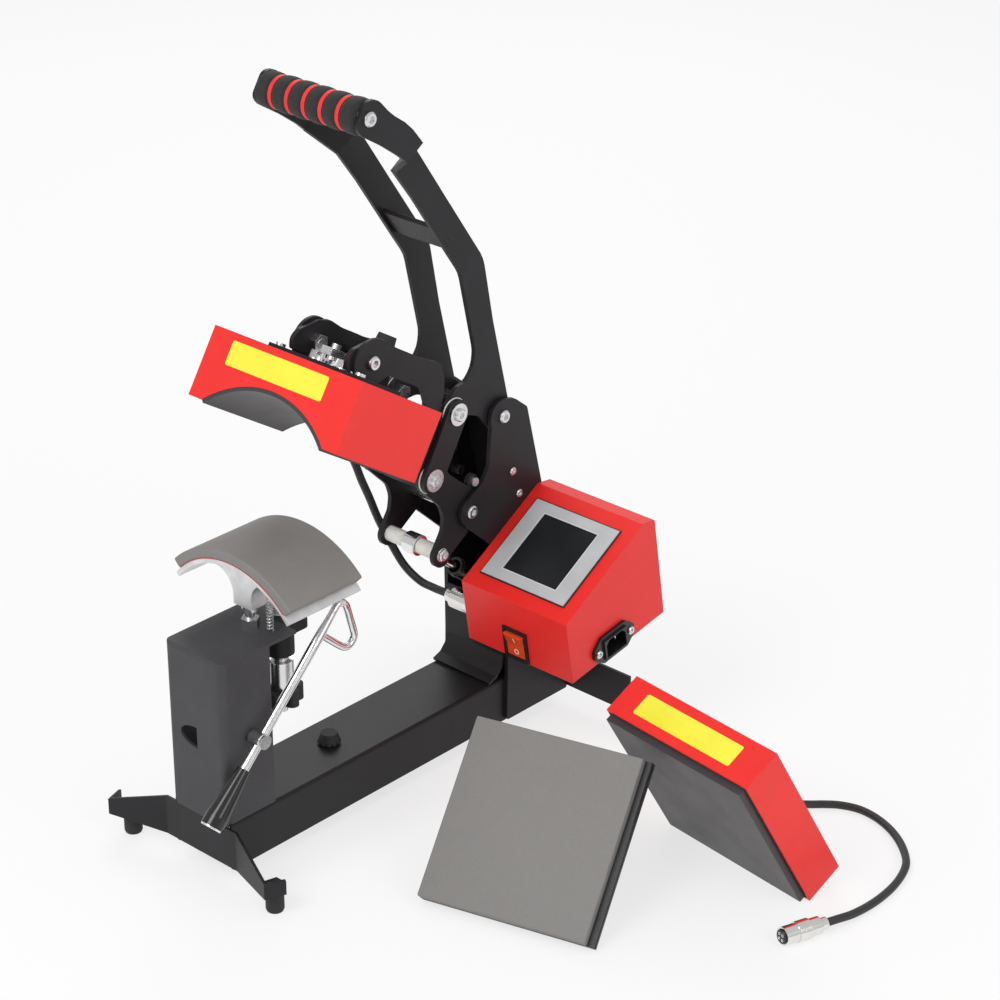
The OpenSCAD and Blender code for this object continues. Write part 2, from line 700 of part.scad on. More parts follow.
// Frame on the front face: local x to the right, y down the face, z into the box
module on_front(x, s) {
    translate([x, box_front_top.x + front_down.x * s, box_front_top.y + front_down.y * s])
        rotate([atan2(front_down.y, front_down.x), 0, 0]) children();
}
module inlet_frame() {
    translate([box_right, inlet_at.x, inlet_at.y])
        multmatrix([[0, 0, 1, 0], [inlet_dir.x, inlet_up.x, 0, 0], [inlet_dir.y, inlet_up.y, 0, 0], [0, 0, 0, 1]])
            children();
}
inlet_w = 28;
inlet_h = 18;
module control_box_housing() {
    color(paint_red) difference() {
        yz(box_left + box_wall, box_w - box_wall) polygon(box_profile);
        yz(box_left, box_w - box_wall) polygon(inset(box_profile, box_wall));
        on_slope(display_x, display_s + bezel_h / 2)
            translate([-screen_w / 2, -screen_h / 2, -5]) cube([screen_w, screen_h, 10]);
        on_front(switch_x, switch_s + switch_h / 2)
            translate([-switch_w / 2 + 2, -switch_h / 2 + 2, -5]) cube([switch_w - 4, switch_h - 4, 10]);
        inlet_frame() translate([-inlet_w / 2 - fit, -inlet_h / 2 - fit, -5])
            cube([inlet_w + 2 * fit, inlet_h + 2 * fit, 10]);
        for (s = [-1, 1]) inlet_frame() translate([s * inlet_pitch / 2, 0, -5]) cylinder(r = 2, h = 10);
    }
}
module control_box_cover() {
    color(paint_red) difference() {
        yz(box_left, box_wall - 0.02) polygon(box_profile);
        for (s = box_screws) bar_x(s, 2.5 + run_gap, box_left - 1, box_left + 3);
        bar_x(socket_at, socket_r + run_gap, box_left - 1, box_left + 3);
    }
}
bezel_t = 1.6;
module display_bezel() {
    color("#b9bcc0") on_slope(display_x, display_s + bezel_h / 2) difference() {
        translate([-bezel_w / 2, -bezel_h / 2, 0]) cube([bezel_w, bezel_h, bezel_t]);
        translate([-screen_w / 2, -screen_h / 2, -1]) cube([screen_w, screen_h, 5]);
    }
}
screen_t = 3;
module display_screen() {
    color("#1a1b1d") on_slope(display_x, display_s + bezel_h / 2)
        translate([-screen_w / 2 + fit / 2, -screen_h / 2 + fit / 2, bezel_t - 0.6 - screen_t])
            cube([screen_w - fit, screen_h - fit, screen_t]);
}
board_t = 1.6;
board_drop = 12;
module circuit_board() {
    color("#2f6b3c") on_slope(display_x, display_s + bezel_h / 2) {
        translate([-bezel_w / 2, -bezel_h / 2, -board_drop - board_t]) cube([bezel_w, bezel_h, board_t]);
        for (sx = [-1, 1], sy = [-1, 1]) translate([sx * (bezel_w / 2 - 6), sy * (bezel_h / 2 - 6), -board_drop])
            cylinder(r = 3, h = board_drop - box_wall);
        for (sx = [-1, 1]) translate([sx * (screen_w / 2 - 6) - 3, -8, -board_drop])
            cube([6, 16, board_drop - screen_t + bezel_t - 0.6]);
        translate([-20, -24, -board_drop - board_t - 14]) cube([26, 22, 14]);
        translate([16, 4, -board_drop - board_t - 9]) cube([18, 24, 9]);
    }
}
rocker_tilt = 9;
rocker_w = switch_w - 6;
rocker_len = switch_h - 6;
module switch_frame() {
    color("#18181a") on_front(switch_x, switch_s + switch_h / 2) difference() {
        union() {
            translate([-switch_w / 2, -switch_h / 2, -2]) cube([switch_w, switch_h, 2]);
            translate([-switch_w / 2 + 2 + fit, -switch_h / 2 + 2 + fit, -0.01])
                cube([switch_w - 4 - 2 * fit, switch_h - 4 - 2 * fit, switch_depth]);
        }
        translate([-rocker_w / 2 - 0.3, -rocker_len / 2 - 0.3, -3])
            cube([rocker_w + 0.6, rocker_len + 0.6, switch_depth - 2 + 3]);
    }
}
// Rocker turned about its own axle, pressed in at the lower end
module switch_rocker() {
    color("#ff3a1a") on_front(switch_x, switch_s + switch_h / 2) translate([0, 0, 2.5])
        rotate([rocker_tilt, 0, 0]) translate([-rocker_w / 2, 0, 0]) rotate([90, 0, 90])
            linear_extrude(rocker_w) intersection() {
                polygon([[-rocker_len / 2 + 0.5, -5.2], [0, -3.6], [rocker_len / 2 - 0.5, -5.2],
                    [rocker_len / 2 - 1.5, 4], [0, 9], [-rocker_len / 2 + 1.5, 4]]);
                circle(rocker_len / 2 + 0.1);
            }
}
module power_inlet() {
    color("#151517") inlet_frame() difference() {
        union() {
            linear_extrude(inlet_flange_t) polygon(rounded([[-inlet_pitch / 2 - 5, -4, 4], [-15, -12.5, 4],
                [15, -12.5, 4], [inlet_pitch / 2 + 5, -4, 4], [inlet_pitch / 2 + 5, 4, 4], [15, 12.5, 4],
                [-15, 12.5, 4], [-inlet_pitch / 2 - 5, 4, 4]]));
            translate([-inlet_w / 2, -inlet_h / 2, -20]) cube([inlet_w, inlet_h, 25]);
        }
        translate([0, 0, -15]) linear_extrude(30)
            polygon([[-12, -8], [12, -8], [12, 4], [8, 8], [-8, 8], [-12, 4]]);
        for (s = [-1, 1]) translate([s * inlet_pitch / 2, 0, -1]) cylinder(r = 1.9 + run_gap, h = 6);
    }
    color("#cfcfcf") inlet_frame() for (p = [[-7, -2], [0, 2.5], [7, -2]])
        translate([p.x - 1, p.y - 2, -15.5]) cube([2, 4, 13]);
}
module heater_socket() {
    color(steel) difference() {
        union() {
            bar_x(socket_at, socket_r, box_left - 6, box_left + 12);
            bar_x(socket_at, socket_r + 2, box_left - 2, box_left - 0.02);
        }
        bar_x(socket_at, socket_r - 1.5, box_left - 7, box_left + 4);
    }
}

// Handle arms: lower plate, joggle outwards and upper plate to the grip
arm_outline = [
    [-117, 240.5, 0], [-96, 212.5, 80], [-60, 159.5, 50], [-44, 136.5, 30], [-32, 83.5, 90],
    [-28, 65.5, 22], [-30, 51.5, 18], [-39, 42, 12], [-50, 40, 6], [-66, 24, 12], [-60, 11, 10],
    [-35, 11.5, 14], [-24, 6.5, 10], [-15, -4, 8], [-6, -14, 6], [9, -12, 6], [13, 2, 12],
    [-7, 85.5, 60], [-17, 137.5, 24], [-20, 145.5, 24], [-59, 202.5, 60], [-95, 255.5, 0]
];
joggle_len = 20;
joggle_x = 24;
arm_w = 26.6;
arm_mid = pivot_b + [-106, 248];
arm_dir = unit([-15, 22]);
arm_across = [arm_dir.y, -arm_dir.x];
arm_upper_x = in_x + joggle_x;
arm_upper_at = arm_mid + joggle_len * arm_dir;
arm_taper = 5.7;
bite = 0.3;
joggle_half = arm_w / 2 - bite / 2;
crossbar_at = pivot_b + [-60, 159.5];
crossbar_t = 4;
crossbar_w = 25;
crossbar_in = 3;
crossbar_tab_w = 8;
function upper_outline(a, b) = [
    [a.x, a.y, 0], [b.x, b.y, 0],
    [b.x - 13, b.y + 16, 40], [b.x - 32, b.y + 29, 40], [grip_at.x + 9, grip_at.y + 13.5, 20],
    [grip_at.x - 2, grip_at.y + 13.6, 8], [grip_at.x - 13, grip_at.y - 4, 12],
    [grip_at.x - 8, grip_at.y - 11, 8], [a.x - 24, a.y + 18, 50], [a.x - 7, a.y + 6, 20]
];
// Frame of the crossbar: x runs up the arm's front edge, y into the arm
module on_arm_edge() {
    translate(crossbar_at) rotate(atan2(arm_dir.y, arm_dir.x)) mirror([0, 1]) children();
}
module crossbar_tab(grow) {
    on_arm_edge() translate([2 - grow, crossbar_in - grow])
        square([crossbar_tab_w + 2 * grow, crossbar_t + 2 * grow]);
}
module handle_arm() {
    yz(in_x, plate_t) difference() {
        union() {
            polygon(rounded(from(pivot_b, arm_outline)));
            spot(pivot_b, 14);
            spot(pivot_c, 12.5);
        }
        spot(pivot_b, bore_r);
        spot(pivot_c, 4 + fit);
        crossbar_tab(fit);
    }
    // joggle: a slanted plate between the two, drawn in along the arm and across it
    rise = joggle_x / joggle_len;
    thick = plate_t * sqrt(1 + rise * rise);
    start = -(thick + bite - plate_t) / rise;
    intersection() {
        translate([0, arm_mid.x, arm_mid.y]) multmatrix([
                [0, 1, 0, 0], [arm_dir.x, 0, arm_across.x, 0], [arm_dir.y, 0, arm_across.y, 0], [0, 0, 0, 1]])
            translate([0, 0, -arm_w]) linear_extrude(2 * arm_w) polygon([
                [-bite / rise * 0.7, in_x + bite * 0.3], [joggle_len + 0.2, arm_upper_x + bite + 0.2 * rise],
                [joggle_len + 1.2, arm_upper_x + bite + 1.2 * rise], [joggle_len + 1.2, arm_upper_x + plate_t - bite],
                [start + joggle_len - bite / rise, arm_upper_x + plate_t - bite],
                [start - bite / rise, mid_x - bite], [start - bite / rise, in_x + plate_t / 2]]);
        yz(in_x - 1, joggle_x + plate_t + 2) polygon([
            arm_mid - 5 * arm_dir - arm_across * joggle_half, arm_mid - 5 * arm_dir + arm_across * joggle_half,
            arm_mid + arm_across * joggle_half,
            arm_upper_at + arm_across * (joggle_half - arm_taper),
            arm_upper_at + 5 * arm_dir + arm_across * (joggle_half - arm_taper),
            arm_upper_at + 5 * arm_dir - arm_across * joggle_half]);
    }
    yz(arm_upper_x, plate_t) difference() {
        polygon(rounded(upper_outline(arm_upper_at - arm_across * arm_w / 2,
            arm_upper_at + arm_across * (arm_w / 2 - arm_taper))));
        spot(grip_at, 4 + fit);
    }
}
module handle_arms() {
    color(paint_black) pair() handle_arm();
}
module handle_crossbar() {
    color("#45434a") {
        yz(-in_x + 0.05, 2 * in_x - 0.1) on_arm_edge()
            translate([-2, crossbar_in]) square([crossbar_w, crossbar_t]);
        yz(-mid_x, 2 * mid_x) crossbar_tab(0);
    }
}
grip_half = grip_len / 2;
seg_w = (grip_len - 0.4 - 5 * ring_w) / 6;
module grip_tube() {
    color("#8f8f93") difference() {
        bar_x(grip_at, 9, -grip_half + 0.1, grip_half - 0.1);
        bar_x(grip_at, 4 + fit, -grip_half, grip_half);
    }
}
module grip_segment(x0, w, r, edge) {
    translate([x0, grip_at.x, grip_at.y]) rotate([0, 90, 0]) rotate_extrude()
        polygon(concat([[9 + run_gap, 0], [r - edge, 0]],
            [for (a = [-60 : 30 : 90]) [r - edge + edge * cos(a), edge + edge * sin(a)]],
            [for (a = [0 : 30 : 90]) [r - edge + edge * cos(a), w - edge + edge * sin(a)]],
            [[9 + run_gap, w]]));
}
module grip_foam() {
    color("#2c2b2b") for (i = [0 : 5])
        grip_segment(-grip_half + 0.2 + i * (seg_w + ring_w), seg_w, foam_d / 2, 2);
}
module grip_rings() {
    color("#f02a2a") for (i = [1 : 5]) translate([-grip_half + 0.2 + i * seg_w + (i - 1) * ring_w, grip_at.x, grip_at.y])
        rotate([0, 90, 0]) difference() {
            cylinder(r = foam_d / 2 - 0.7, h = ring_w);
            translate([0, 0, -1]) cylinder(r = 9 + run_gap, h = ring_w + 2);
        }
}
module grip_screws() {
    color(steel) {
        bar_x(grip_at, 4, -arm_upper_x - plate_t, arm_upper_x + plate_t);
        pair() button_head(grip_at, arm_upper_x + plate_t, 6, 3.2);
    }
}

// Links between the handle arms and the swing plates
module link_plates() {
    d = pivot_c - pivot_d_at;
    color(paint_black) pair() yz(out_x, plate_t) difference() {
        union() {
            spot(pivot_c, link_half);
            spot(pivot_d_at, link_half);
            translate(pivot_d_at) rotate(atan2(d.y, d.x)) translate([0, -link_half]) square([norm(d), 2 * link_half]);
        }
        spot(pivot_c, 5 + run_gap);
        spot(pivot_d_at, 4);
    }
}
cap_r = 9.5;
module link_screw(at, x0, shank_r) {
    bar_x(at, shank_r, x0, far_x + 0.2);
    difference() {
        bar_x(at, cap_r, far_x + 0.2, far_x + 1.6);
        bar_x(at, 2, far_x + 1, far_x + 2);
    }
    button_head(at, far_x + 1.5, head_screw_r, head_screw_h);
}
module link_top_screws() {
    color(steel) pair() {
        link_screw(pivot_c, mid_x + 0.3, 5);
        bar_x(pivot_c, 4, in_x - 5, mid_x + 1);
        translate([in_x - 5, pivot_c.x, pivot_c.y]) rotate([0, 90, 0]) hex(13, 5);
    }
}
module link_top_washers() {
    color("#eeeeea") pair() difference() {
        bar_x(pivot_c, link_half + 0.8, mid_x, out_x - 0.3);
        bar_x(pivot_c, 5 + run_gap, mid_x - 1, out_x + 1);
    }
}
module link_bottom_screws() {
    color(steel) pair() {
        link_screw(pivot_d_at, out_x + 0.2, 4);
    }
}

// Swing plates that carry the head, with their shaft and cross plates
swing_outline = [
    [-133, 168, 3], [-132, 177, 8], [-124, 182, 6], [-104, 183.5, 10], [-91, 179.5, 10], [-79, 169.5, 14],
    [-63, 159.5, 14], [-54, 153.5, 6], [-29, 140.5, 6], [-25, 128, 8], [-26, 112, 14], [-31, 97, 16],
    [-33, 80, 14], [-30, 60, 10], [-22, 41, 10], [-6, 27, 14], [11, 15, 5], [12, -8, 8], [2, -20, 12],
    [-18, -33, 6], [-30, -42, 6], [-40, -33, 5], [-37, -22, 8], [-29, -10, 10], [-27, 2, 14],
    [-31, 14, 14], [-41, 24, 12], [-55, 38, 6], [-57, 48, 4], [-47, 111.5, 3], [-51, 125.5, 3],
    [-88, 148.5, 3], [-98, 146, 2]
];
module swing_shape() {
    polygon(rounded(from(pivot_a, swing_outline)));
    spot(pivot_a, 13);
    spot(pivot_d_at, 12.5);
    spot(shaft_at, 11);
    spot(pivot_a + stop_bolt, stop_ear_r);
}
stop_bolt = [7, 24];
stop_ear_r = 6;
head_corner = pivot_a + [-163.7, 182.7];
// Frame of the head: y runs back along the housing's top, z stands out of it
module head_frame() {
    translate([0, head_corner.x, head_corner.y]) rotate([-head_tilt, 0, 0]) children();
}
function in_world(y, z) = head_corner + y * [cos(head_tilt), -sin(head_tilt)] + z * [sin(head_tilt), cos(head_tilt)];
bolt_local = [55.7, 16.3];
head_bolt = in_world(bolt_local.x, bolt_local.y);
head_bolt_r = 4;
module swing_plates() {
    color(paint_black) pair() yz(in_x, plate_t) difference() {
        swing_shape();
        spot(pivot_a, bore_r);
        spot(pivot_d_at, 4);
        spot(shaft_at, 6);
        spot(head_bolt, head_bolt_r);
    }
}
cross_plate_y = 90;
cross_plate_z = 19;
knob_y = 101;
screw_r = 4;
module swing_cross_plates() {
    color(paint_black) {
        head_frame() difference() {
            translate([-in_x + 0.02, cross_plate_y, cross_plate_z]) cube([inner_gap - 0.04, 22, plate_t]);
            translate([0, knob_y, cross_plate_z - 1]) cylinder(r = screw_r + run_gap, h = plate_t + 2);
        }
        strip([pivot_a + [-53, 44], pivot_a + [-39, 27.5]], -in_x + 0.02, plate_t, inner_gap - 0.04);
    }
}
spacer_half = 7;
module cross_shaft() {
    color(steel) {
        bar_x(shaft_at, 6, -mid_x, mid_x);
        pair() button_head(shaft_at, mid_x, 5.2, 3);
        // stop bolts beside the head pivot, and the lower link pins
        pair() bar_x(pivot_a + stop_bolt, 3.8, mid_x, mid_x + 3.6);
        pair() bar_x(pivot_d_at, 4, in_x + 0.1, mid_x + 0.2);
    }
}
module nylon_spacers() {
    color("#f1f0e6") pair() {
        difference() {
            bar_x(shaft_at, 6.7, spacer_half, in_x - 0.02);
            bar_x(shaft_at, 6 + run_gap, spacer_half - 1, in_x + 1);
        }
        difference() {
            bar_x(pivot_d_at, 12.8, mid_x, out_x - 0.35);
            bar_x(pivot_d_at, 4 + run_gap, mid_x - 1, out_x + 1);
        }
    }
}

// Gas spring from the cross shaft to the frame
gas_vec = gas_at - shaft_at;
gas_len = norm(gas_vec);
gas_turn = atan2(gas_vec.y, gas_vec.x);
gas_mouth = 62;
gas_bore_r = 5.8;
module gas_frame() {
    translate([0, shaft_at.x, shaft_at.y]) rotate([gas_turn, 0, 0]) rotate([-90, 0, 0]) children();
}
module gas_cylinder() {
    color("#1c1c1e") gas_frame() difference() {
        union() {
            translate([0, 0, gas_mouth]) cylinder(d = gas_d, h = gas_len - gas_mouth - 9);
            translate([0, 0, gas_mouth + 3]) cylinder(d = gas_d + 1.2, h = 2);
            translate([-5, 0, gas_len]) rotate([0, 90, 0]) cylinder(r = 9, h = 10);
            translate([-5, -5, gas_len - 14]) cube([10, 10, 12]);
        }
        translate([0, 0, gas_mouth - 1]) cylinder(r = gas_bore_r, h = gas_len - gas_mouth - 18);
        translate([-20, 0, gas_len]) rotate([0, 90, 0]) cylinder(r = 5 + run_gap, h = 40);
    }
}
module gas_rod() {
    color(steel) gas_frame() difference() {
        union() {
            translate([-spacer_half + 0.5, 0, 0]) rotate([0, 90, 0]) cylinder(r = 9, h = 2 * spacer_half - 1);
            translate([0, 0, 6]) cylinder(r = 5, h = 12);
            translate([0, 0, 8]) cylinder(d = gas_rod_d, h = gas_mouth + 6);
        }
        translate([-20, 0, 0]) rotate([0, 90, 0]) cylinder(r = 6 + run_gap, h = 40);
    }
}

// Head bracket, its screws and the pressure adjuster
bracket_t = 3;
lobe_r = 19.5;
flange_x = mid_x + 0.02;
module head_bracket() {
    color("#242326") {
        head_frame() difference() {
            union() {
                translate([-50, 30, 0.02]) cube([100, 52, bracket_t]);
                translate([-18, 80, 0.02]) cube([36, 31, bracket_t]);
            }
            for (x = [-44, 0, 44]) translate([x, 37, -1]) cylinder(r = 2.6, h = 10);
        }
        pair() head_frame() translate([flange_x, 0, 0]) rotate([90, 0, 90]) linear_extrude(bracket_t) difference() {
            intersection() {
                spot(bolt_local, lobe_r);
                translate([30, bracket_t - 0.5]) square([52, 60]);
            }
            spot(bolt_local, head_bolt_r);
        }
    }
}
module head_fasteners() {
    color("#d5d5d3") {
        pair() {
            bar_x(head_bolt, head_bolt_r, in_x - 7, flange_x + bracket_t);
            button_head(head_bolt, flange_x + bracket_t, 6, 3.4);
            translate([in_x - 6.5, head_bolt.x, head_bolt.y]) rotate([0, 90, 0]) hex(13, 6.5);
        }
        head_frame() {
            for (x = [-44, 0, 44]) translate([x, 37, 0]) {
                translate([0, 0, bracket_t + 0.04]) cylinder(r = 4.2, h = 2.4);
                translate([0, 0, 0.05]) cylinder(r = 2.5, h = bracket_t);
            }
            // centre stud with its large nut, and the two bolts beside it
            translate([0, 49, bracket_t + 0.04]) cylinder(r = 4, h = 17);
            translate([0, 49, bracket_t + 7]) hex(19, 6);
            translate([0, 49, bracket_t + 0.04]) hex(13, 4);
            for (x = [-15, 15]) translate([x, 49, bracket_t + 0.04]) {
                cylinder(r = 7, h = 1);
                translate([0, 0, 1]) hex(11, 6);
            }
        }
    }
}
screw_tip = bracket_t + 3.4;
knob_base = 28;
module pressure_screw() {
    color(steel) head_frame() translate([0, knob_y, screw_tip]) {
        cylinder(r = screw_r, h = knob_base - screw_tip);
        translate([0, 0, knob_base - screw_tip]) cylinder(r = 3, h = 10);
    }
}
module pressure_knob() {
    color("#1b1b1d") head_frame() translate([0, knob_y, knob_base + 0.05]) difference() {
        fluted(9.4, 7.6, 14, 10);
        translate([0, 0, -1]) cylinder(r = 3 + run_gap, h = 11.5);
    }
}

// Heating head
heat_in = pad_r + press_gap;
heat_out = heat_in + heat_t;
arch_drop = sqrt(pow(heat_out, 2) - pow(arch_half, 2));
head_half = head_w / 2;
module head_housing() {
    color(paint_red) head_frame() difference() {
        translate([-head_half, 0, -head_h]) cube([head_w, head_len, head_h]);
        difference() {
            translate([-head_half + head_wall, head_wall, -head_h + head_wall])
                cube([head_w - 2 * head_wall, head_len - 2 * head_wall, head_h - 2 * head_wall]);
        }
        translate([0, -1, -head_h - arch_drop]) rotate([-90, 0, 0])
            cylinder(r = heat_out + 0.1, h = head_len + 2, $fn = 160);
        for (x = [-44, 0, 44]) translate([x, 37, -5]) cylinder(r = 2.6, h = 10);
        translate([cable_exit.x, head_len - 5, cable_exit.z]) rotate([-90, 0, 0])
            cylinder(r = head_cable_d / 2 + fit, h = 10);
    }
}
module head_heating_plate() {
    color("#6b6970") head_frame()
        arc_band(heat_in, heat_out, arch_half - 0.3, 0.3, head_len - 0.6, [0, -head_h - arch_drop]);
}
module head_insulation() {
    color("#d8d2bf") head_frame() difference() {
        translate([-head_half + head_wall + 0.3, head_wall + 0.3, -head_h + head_wall + 1])
            cube([head_w - 2 * head_wall - 0.6, head_len - 2 * head_wall - 0.6, head_h - 2 * head_wall - 4]);
        translate([0, -1, -head_h - arch_drop]) rotate([-90, 0, 0])
            cylinder(r = heat_out + 0.5, h = head_len + 2, $fn = 160);
        translate([cable_exit.x, head_len - 20, cable_exit.z]) rotate([-90, 0, 0]) cylinder(r = 7, h = 30);
        for (x = [-44, 0, 44]) translate([x, 37, -9]) cylinder(r = 5, h = 10);
    }
}
cable_exit = [-48, 0, -36];

// Cables. Route points are in millimetres, smoothed by a curve through all of them
exit_at = concat([cable_exit.x], in_world(head_len - head_wall + 0.2, cable_exit.z));
head_route = [
    exit_at, concat([cable_exit.x], in_world(head_len + 6, cable_exit.z)),
    [-48, 196, 312], [-48, 212, 291], [-48, 225, 269], [-48, 234, 247],
    [-48, 243, 227], [-47, 252, 204], [-43, 263, 178], [-35, 270, 158], [-23, 276, 145.5], [-11, 280, 141.5],
    [0, 281, 141], [6, 281, 141]
];
// Place of the spare heater's lower left front corner, and its turn
spare_left = [230.8, 310.8];
spare_yaw = -6.9;
spare_wall = 1.5;
function in_spare(p) = let (y = p.y * cos(spare_lean) - p.z * sin(spare_lean))
    [spare_left.x + p.x * cos(spare_yaw) - y * sin(spare_yaw),
     spare_left.y + p.x * sin(spare_yaw) + y * cos(spare_yaw),
     p.y * sin(spare_lean) + p.z * cos(spare_lean)];
lead_r = lead_d / 2;
lead_z = lead_r;
lead_hole = [40, 25];
lead_route = [
    in_spare([lead_hole.x, spare_depth - spare_wall + 0.2, lead_hole.y]),
    in_spare([lead_hole.x, spare_depth + 7, lead_hole.y]),
    [276, 343, 44], [280, 355, 36], [284, 367, 25], [289, 380, 13], [295, 391, 6],
    [302, 401.5, lead_z], [311, 410, lead_z], [322, 418, lead_z],
    [337, 423, lead_z], [354, 422, lead_z], [372, 416, lead_z], [389, 406, lead_z], [404, 393, lead_z],
    [414, 380, lead_z], [421, 362, lead_z], [425, 342, lead_z], [426, 319, lead_z], [424.5, 296, 4.5],
    [421.5, 279.5, 6.5], [418, 268, 7]
];
// Catmull-Rom point on one stretch of a route
function smooth_point(p, i, t) = let (n = len(p) - 1,
    a = p[max(i - 1, 0)], b = p[i], c = p[min(i + 1, n)], d = p[min(i + 2, n)])
    0.5 * (2 * b + (c - a) * t + (2 * a - 5 * b + 4 * c - d) * t * t + (3 * b - a - 3 * c + d) * t * t * t);
function smooth(p, k) = concat([for (i = [0 : len(p) - 2], j = [0 : k - 1]) smooth_point(p, i, j / k)],
    [p[len(p) - 1]]);
// Round tube swept along a route, with the section turned from one side vector
module sweep(p, r, side_vector, sides = 10) {
    n = len(p) - 1;
    pts = [for (i = [0 : n]) let (t = unit(p[min(i + 1, n)] - p[max(i - 1, 0)]),
        u = unit(cross(side_vector, t)), v = cross(t, u))
        for (k = [0 : sides - 1]) p[i] + r * (cos(k * 360 / sides) * u + sin(k * 360 / sides) * v)];
    faces = concat([[for (k = [0 : sides - 1]) k]],
        [for (i = [0 : n - 1], k = [0 : sides - 1])
            each [[i * sides + k, (i + 1) * sides + k, i * sides + (k + 1) % sides],
                [i * sides + (k + 1) % sides, (i + 1) * sides + k, (i + 1) * sides + (k + 1) % sides]]],
        [[for (k = [sides - 1 : -1 : 0]) n * sides + k]]);
    polyhedron(points = pts, faces = faces);
}
module head_cable() {
    color("#1c1c1d") sweep(smooth(head_route, 1), head_cable_d / 2, [0.6, -0.8, 0]);
}
module head_connector() {
    color(steel) {
        bar_x(socket_at, 6, 6.02, 14);
        difference() {
            bar_x(socket_at, socket_r + 1.2, 13, box_left - 2.02);
            bar_x(socket_at, socket_r + run_gap, box_left - 7, box_left);
        }
        bar_x(socket_at, socket_r - 1.6, 20, box_left + 3);
    }
}
module spare_lead() {
    color("#1c1c1d") sweep(smooth(lead_route, 1), lead_r, [0, 0, 1]);
}
module spare_connector() {
    p = lead_route[len(lead_route) - 1];
    d = [406, 229, 8.6] - p;
    color(steel) translate(p) rotate([0, 0, atan2(d.y, d.x)]) rotate([0, 90 - atan2(d.z, norm([d.x, d.y])), 0])
        difference() {
            union() {
                translate([0, 0, 0.05]) cylinder(r = 5, h = 7);
                translate([0, 0, 6.9]) cylinder(r = 7.2, h = 10);
                translate([0, 0, 16.8]) cylinder(r = 8.4, h = 12);
                translate([0, 0, 28.7]) cylinder(r = 7.6, h = norm(d) - 28.7);
            }
            translate([0, 0, norm(d) - 8]) cylinder(r = 6.2, h = 20);
        }
}

// Spare flat heater, leaning forward on its lower edge
// Local frame: x along the lower edge, y back through the housing, z up the face
module spare_frame() {
    translate([spare_left.x, spare_left.y, 0]) rotate([0, 0, spare_yaw]) rotate([spare_lean, 0, 0]) children();
}
module spare_housing() {
    color(paint_red) spare_frame() difference() {
        cube([spare_size, spare_depth, spare_size]);
        translate([spare_wall, -1, spare_wall])
            cube([spare_size - 2 * spare_wall, spare_depth - spare_wall + 1, spare_size - 2 * spare_wall]);
        translate([lead_hole.x, spare_depth - 5, lead_hole.y]) rotate([-90, 0, 0])
            cylinder(r = lead_r + fit, h = 10);
    }
}
// The working face stands out of the housing, drawn in so that its lower edge clears the floor
spare_raise = 6;
spare_draw = spare_raise * tan(spare_lean) + 0.2;
module spare_heating_plate() {
    color("#6b6970") spare_frame() {
        translate([spare_draw, -spare_raise, spare_draw])
            cube([spare_size - 2 * spare_draw, spare_raise + 2, spare_size - 2 * spare_draw]);
        translate([spare_wall + fit, 0.6, spare_wall + fit]) {
            cube([spare_size - 2 * (spare_wall + fit), 8, spare_size - 2 * (spare_wall + fit)]);
            for (sx = [0.2, 0.8], sz = [0.2, 0.8])
                translate([sx * (spare_size - 4), 8, sz * (spare_size - 4)]) rotate([-90, 0, 0])
                    cylinder(r = 4, h = spare_depth - spare_wall - 8.7);
        }
    }
}
// Flat mounting plate on the back, with four holes
spare_mount = [100, 44];
spare_mount_hole = [80, 28];
module spare_bracket() {
    color("#242326") spare_frame() translate([spare_size / 2, spare_depth + 0.05, spare_size / 2]) difference() {
        translate([-spare_mount.x / 2, 0, -spare_mount.y / 2]) cube([spare_mount.x, bracket_t, spare_mount.y]);
        for (sx = [-1, 1], sz = [-1, 1])
            translate([sx * spare_mount_hole.x / 2, -1, sz * spare_mount_hole.y / 2]) rotate([-90, 0, 0])
                cylinder(r = 3.2, h = bracket_t + 2);
    }
}

// Flat silicone pad on its base plate, leaning on its post
flat_left = [160.3, 88.1];
flat_yaw = 15.5;
flat_edge = 5;
flat_post_r = 12;
// Local frame: x along the lower edge, y up the pad, z out of its face
module flat_frame() {
    translate([flat_left.x, flat_left.y, 0]) rotate([0, 0, flat_yaw]) rotate([flat_lean, 0, 0]) children();
}
module flat_pad() {
    color(grey_rubber) flat_frame() translate([0, 0, flat_base_t])
        cube([flat_size - flat_edge, flat_size, flat_pad_t]);
}
module flat_pad_base() {
    post_at = flat_size * 0.62;
    post_len = (post_at - flat_post_r) * tan(flat_lean);
    color("#2a2a2c") flat_frame() {
        difference() {
            cube([flat_size, flat_size, flat_base_t - 0.02]);
            translate([flat_size - 3.2, -1, flat_base_t / 2 - 1]) cube([5, flat_size + 2, 2]);
        }
        translate([flat_size / 2, post_at, -post_len]) cylinder(r = flat_post_r, h = post_len);
    }
}

foot_plates();
rubber_feet();
base_beam();
beam_knob();
front_pedestal();
upright_plates();
upright_webs();
pivot_shafts();
panel_screws();
control_box_housing();
control_box_cover();
display_bezel();
display_screen();
circuit_board();
switch_frame();
switch_rocker();
power_inlet();
heater_socket();
platen_pad();
platen_saddle();
platen_guide();
platen_spring();
platen_arm();
tension_stud();
tension_knob();
lever_rod();
lever_grip();
handle_arms();
handle_crossbar();
grip_tube();
grip_foam();
grip_rings();
grip_screws();
link_plates();
link_top_screws();
link_top_washers();
link_bottom_screws();
swing_plates();
swing_cross_plates();
cross_shaft();
nylon_spacers();
gas_cylinder();
gas_rod();
head_bracket();
head_fasteners();
pressure_screw();
pressure_knob();
head_housing();
head_heating_plate();
head_insulation();
head_cable();
head_connector();
spare_housing();
spare_heating_plate();
spare_bracket();
spare_lead();
spare_connector();
flat_pad();
flat_pad_base();
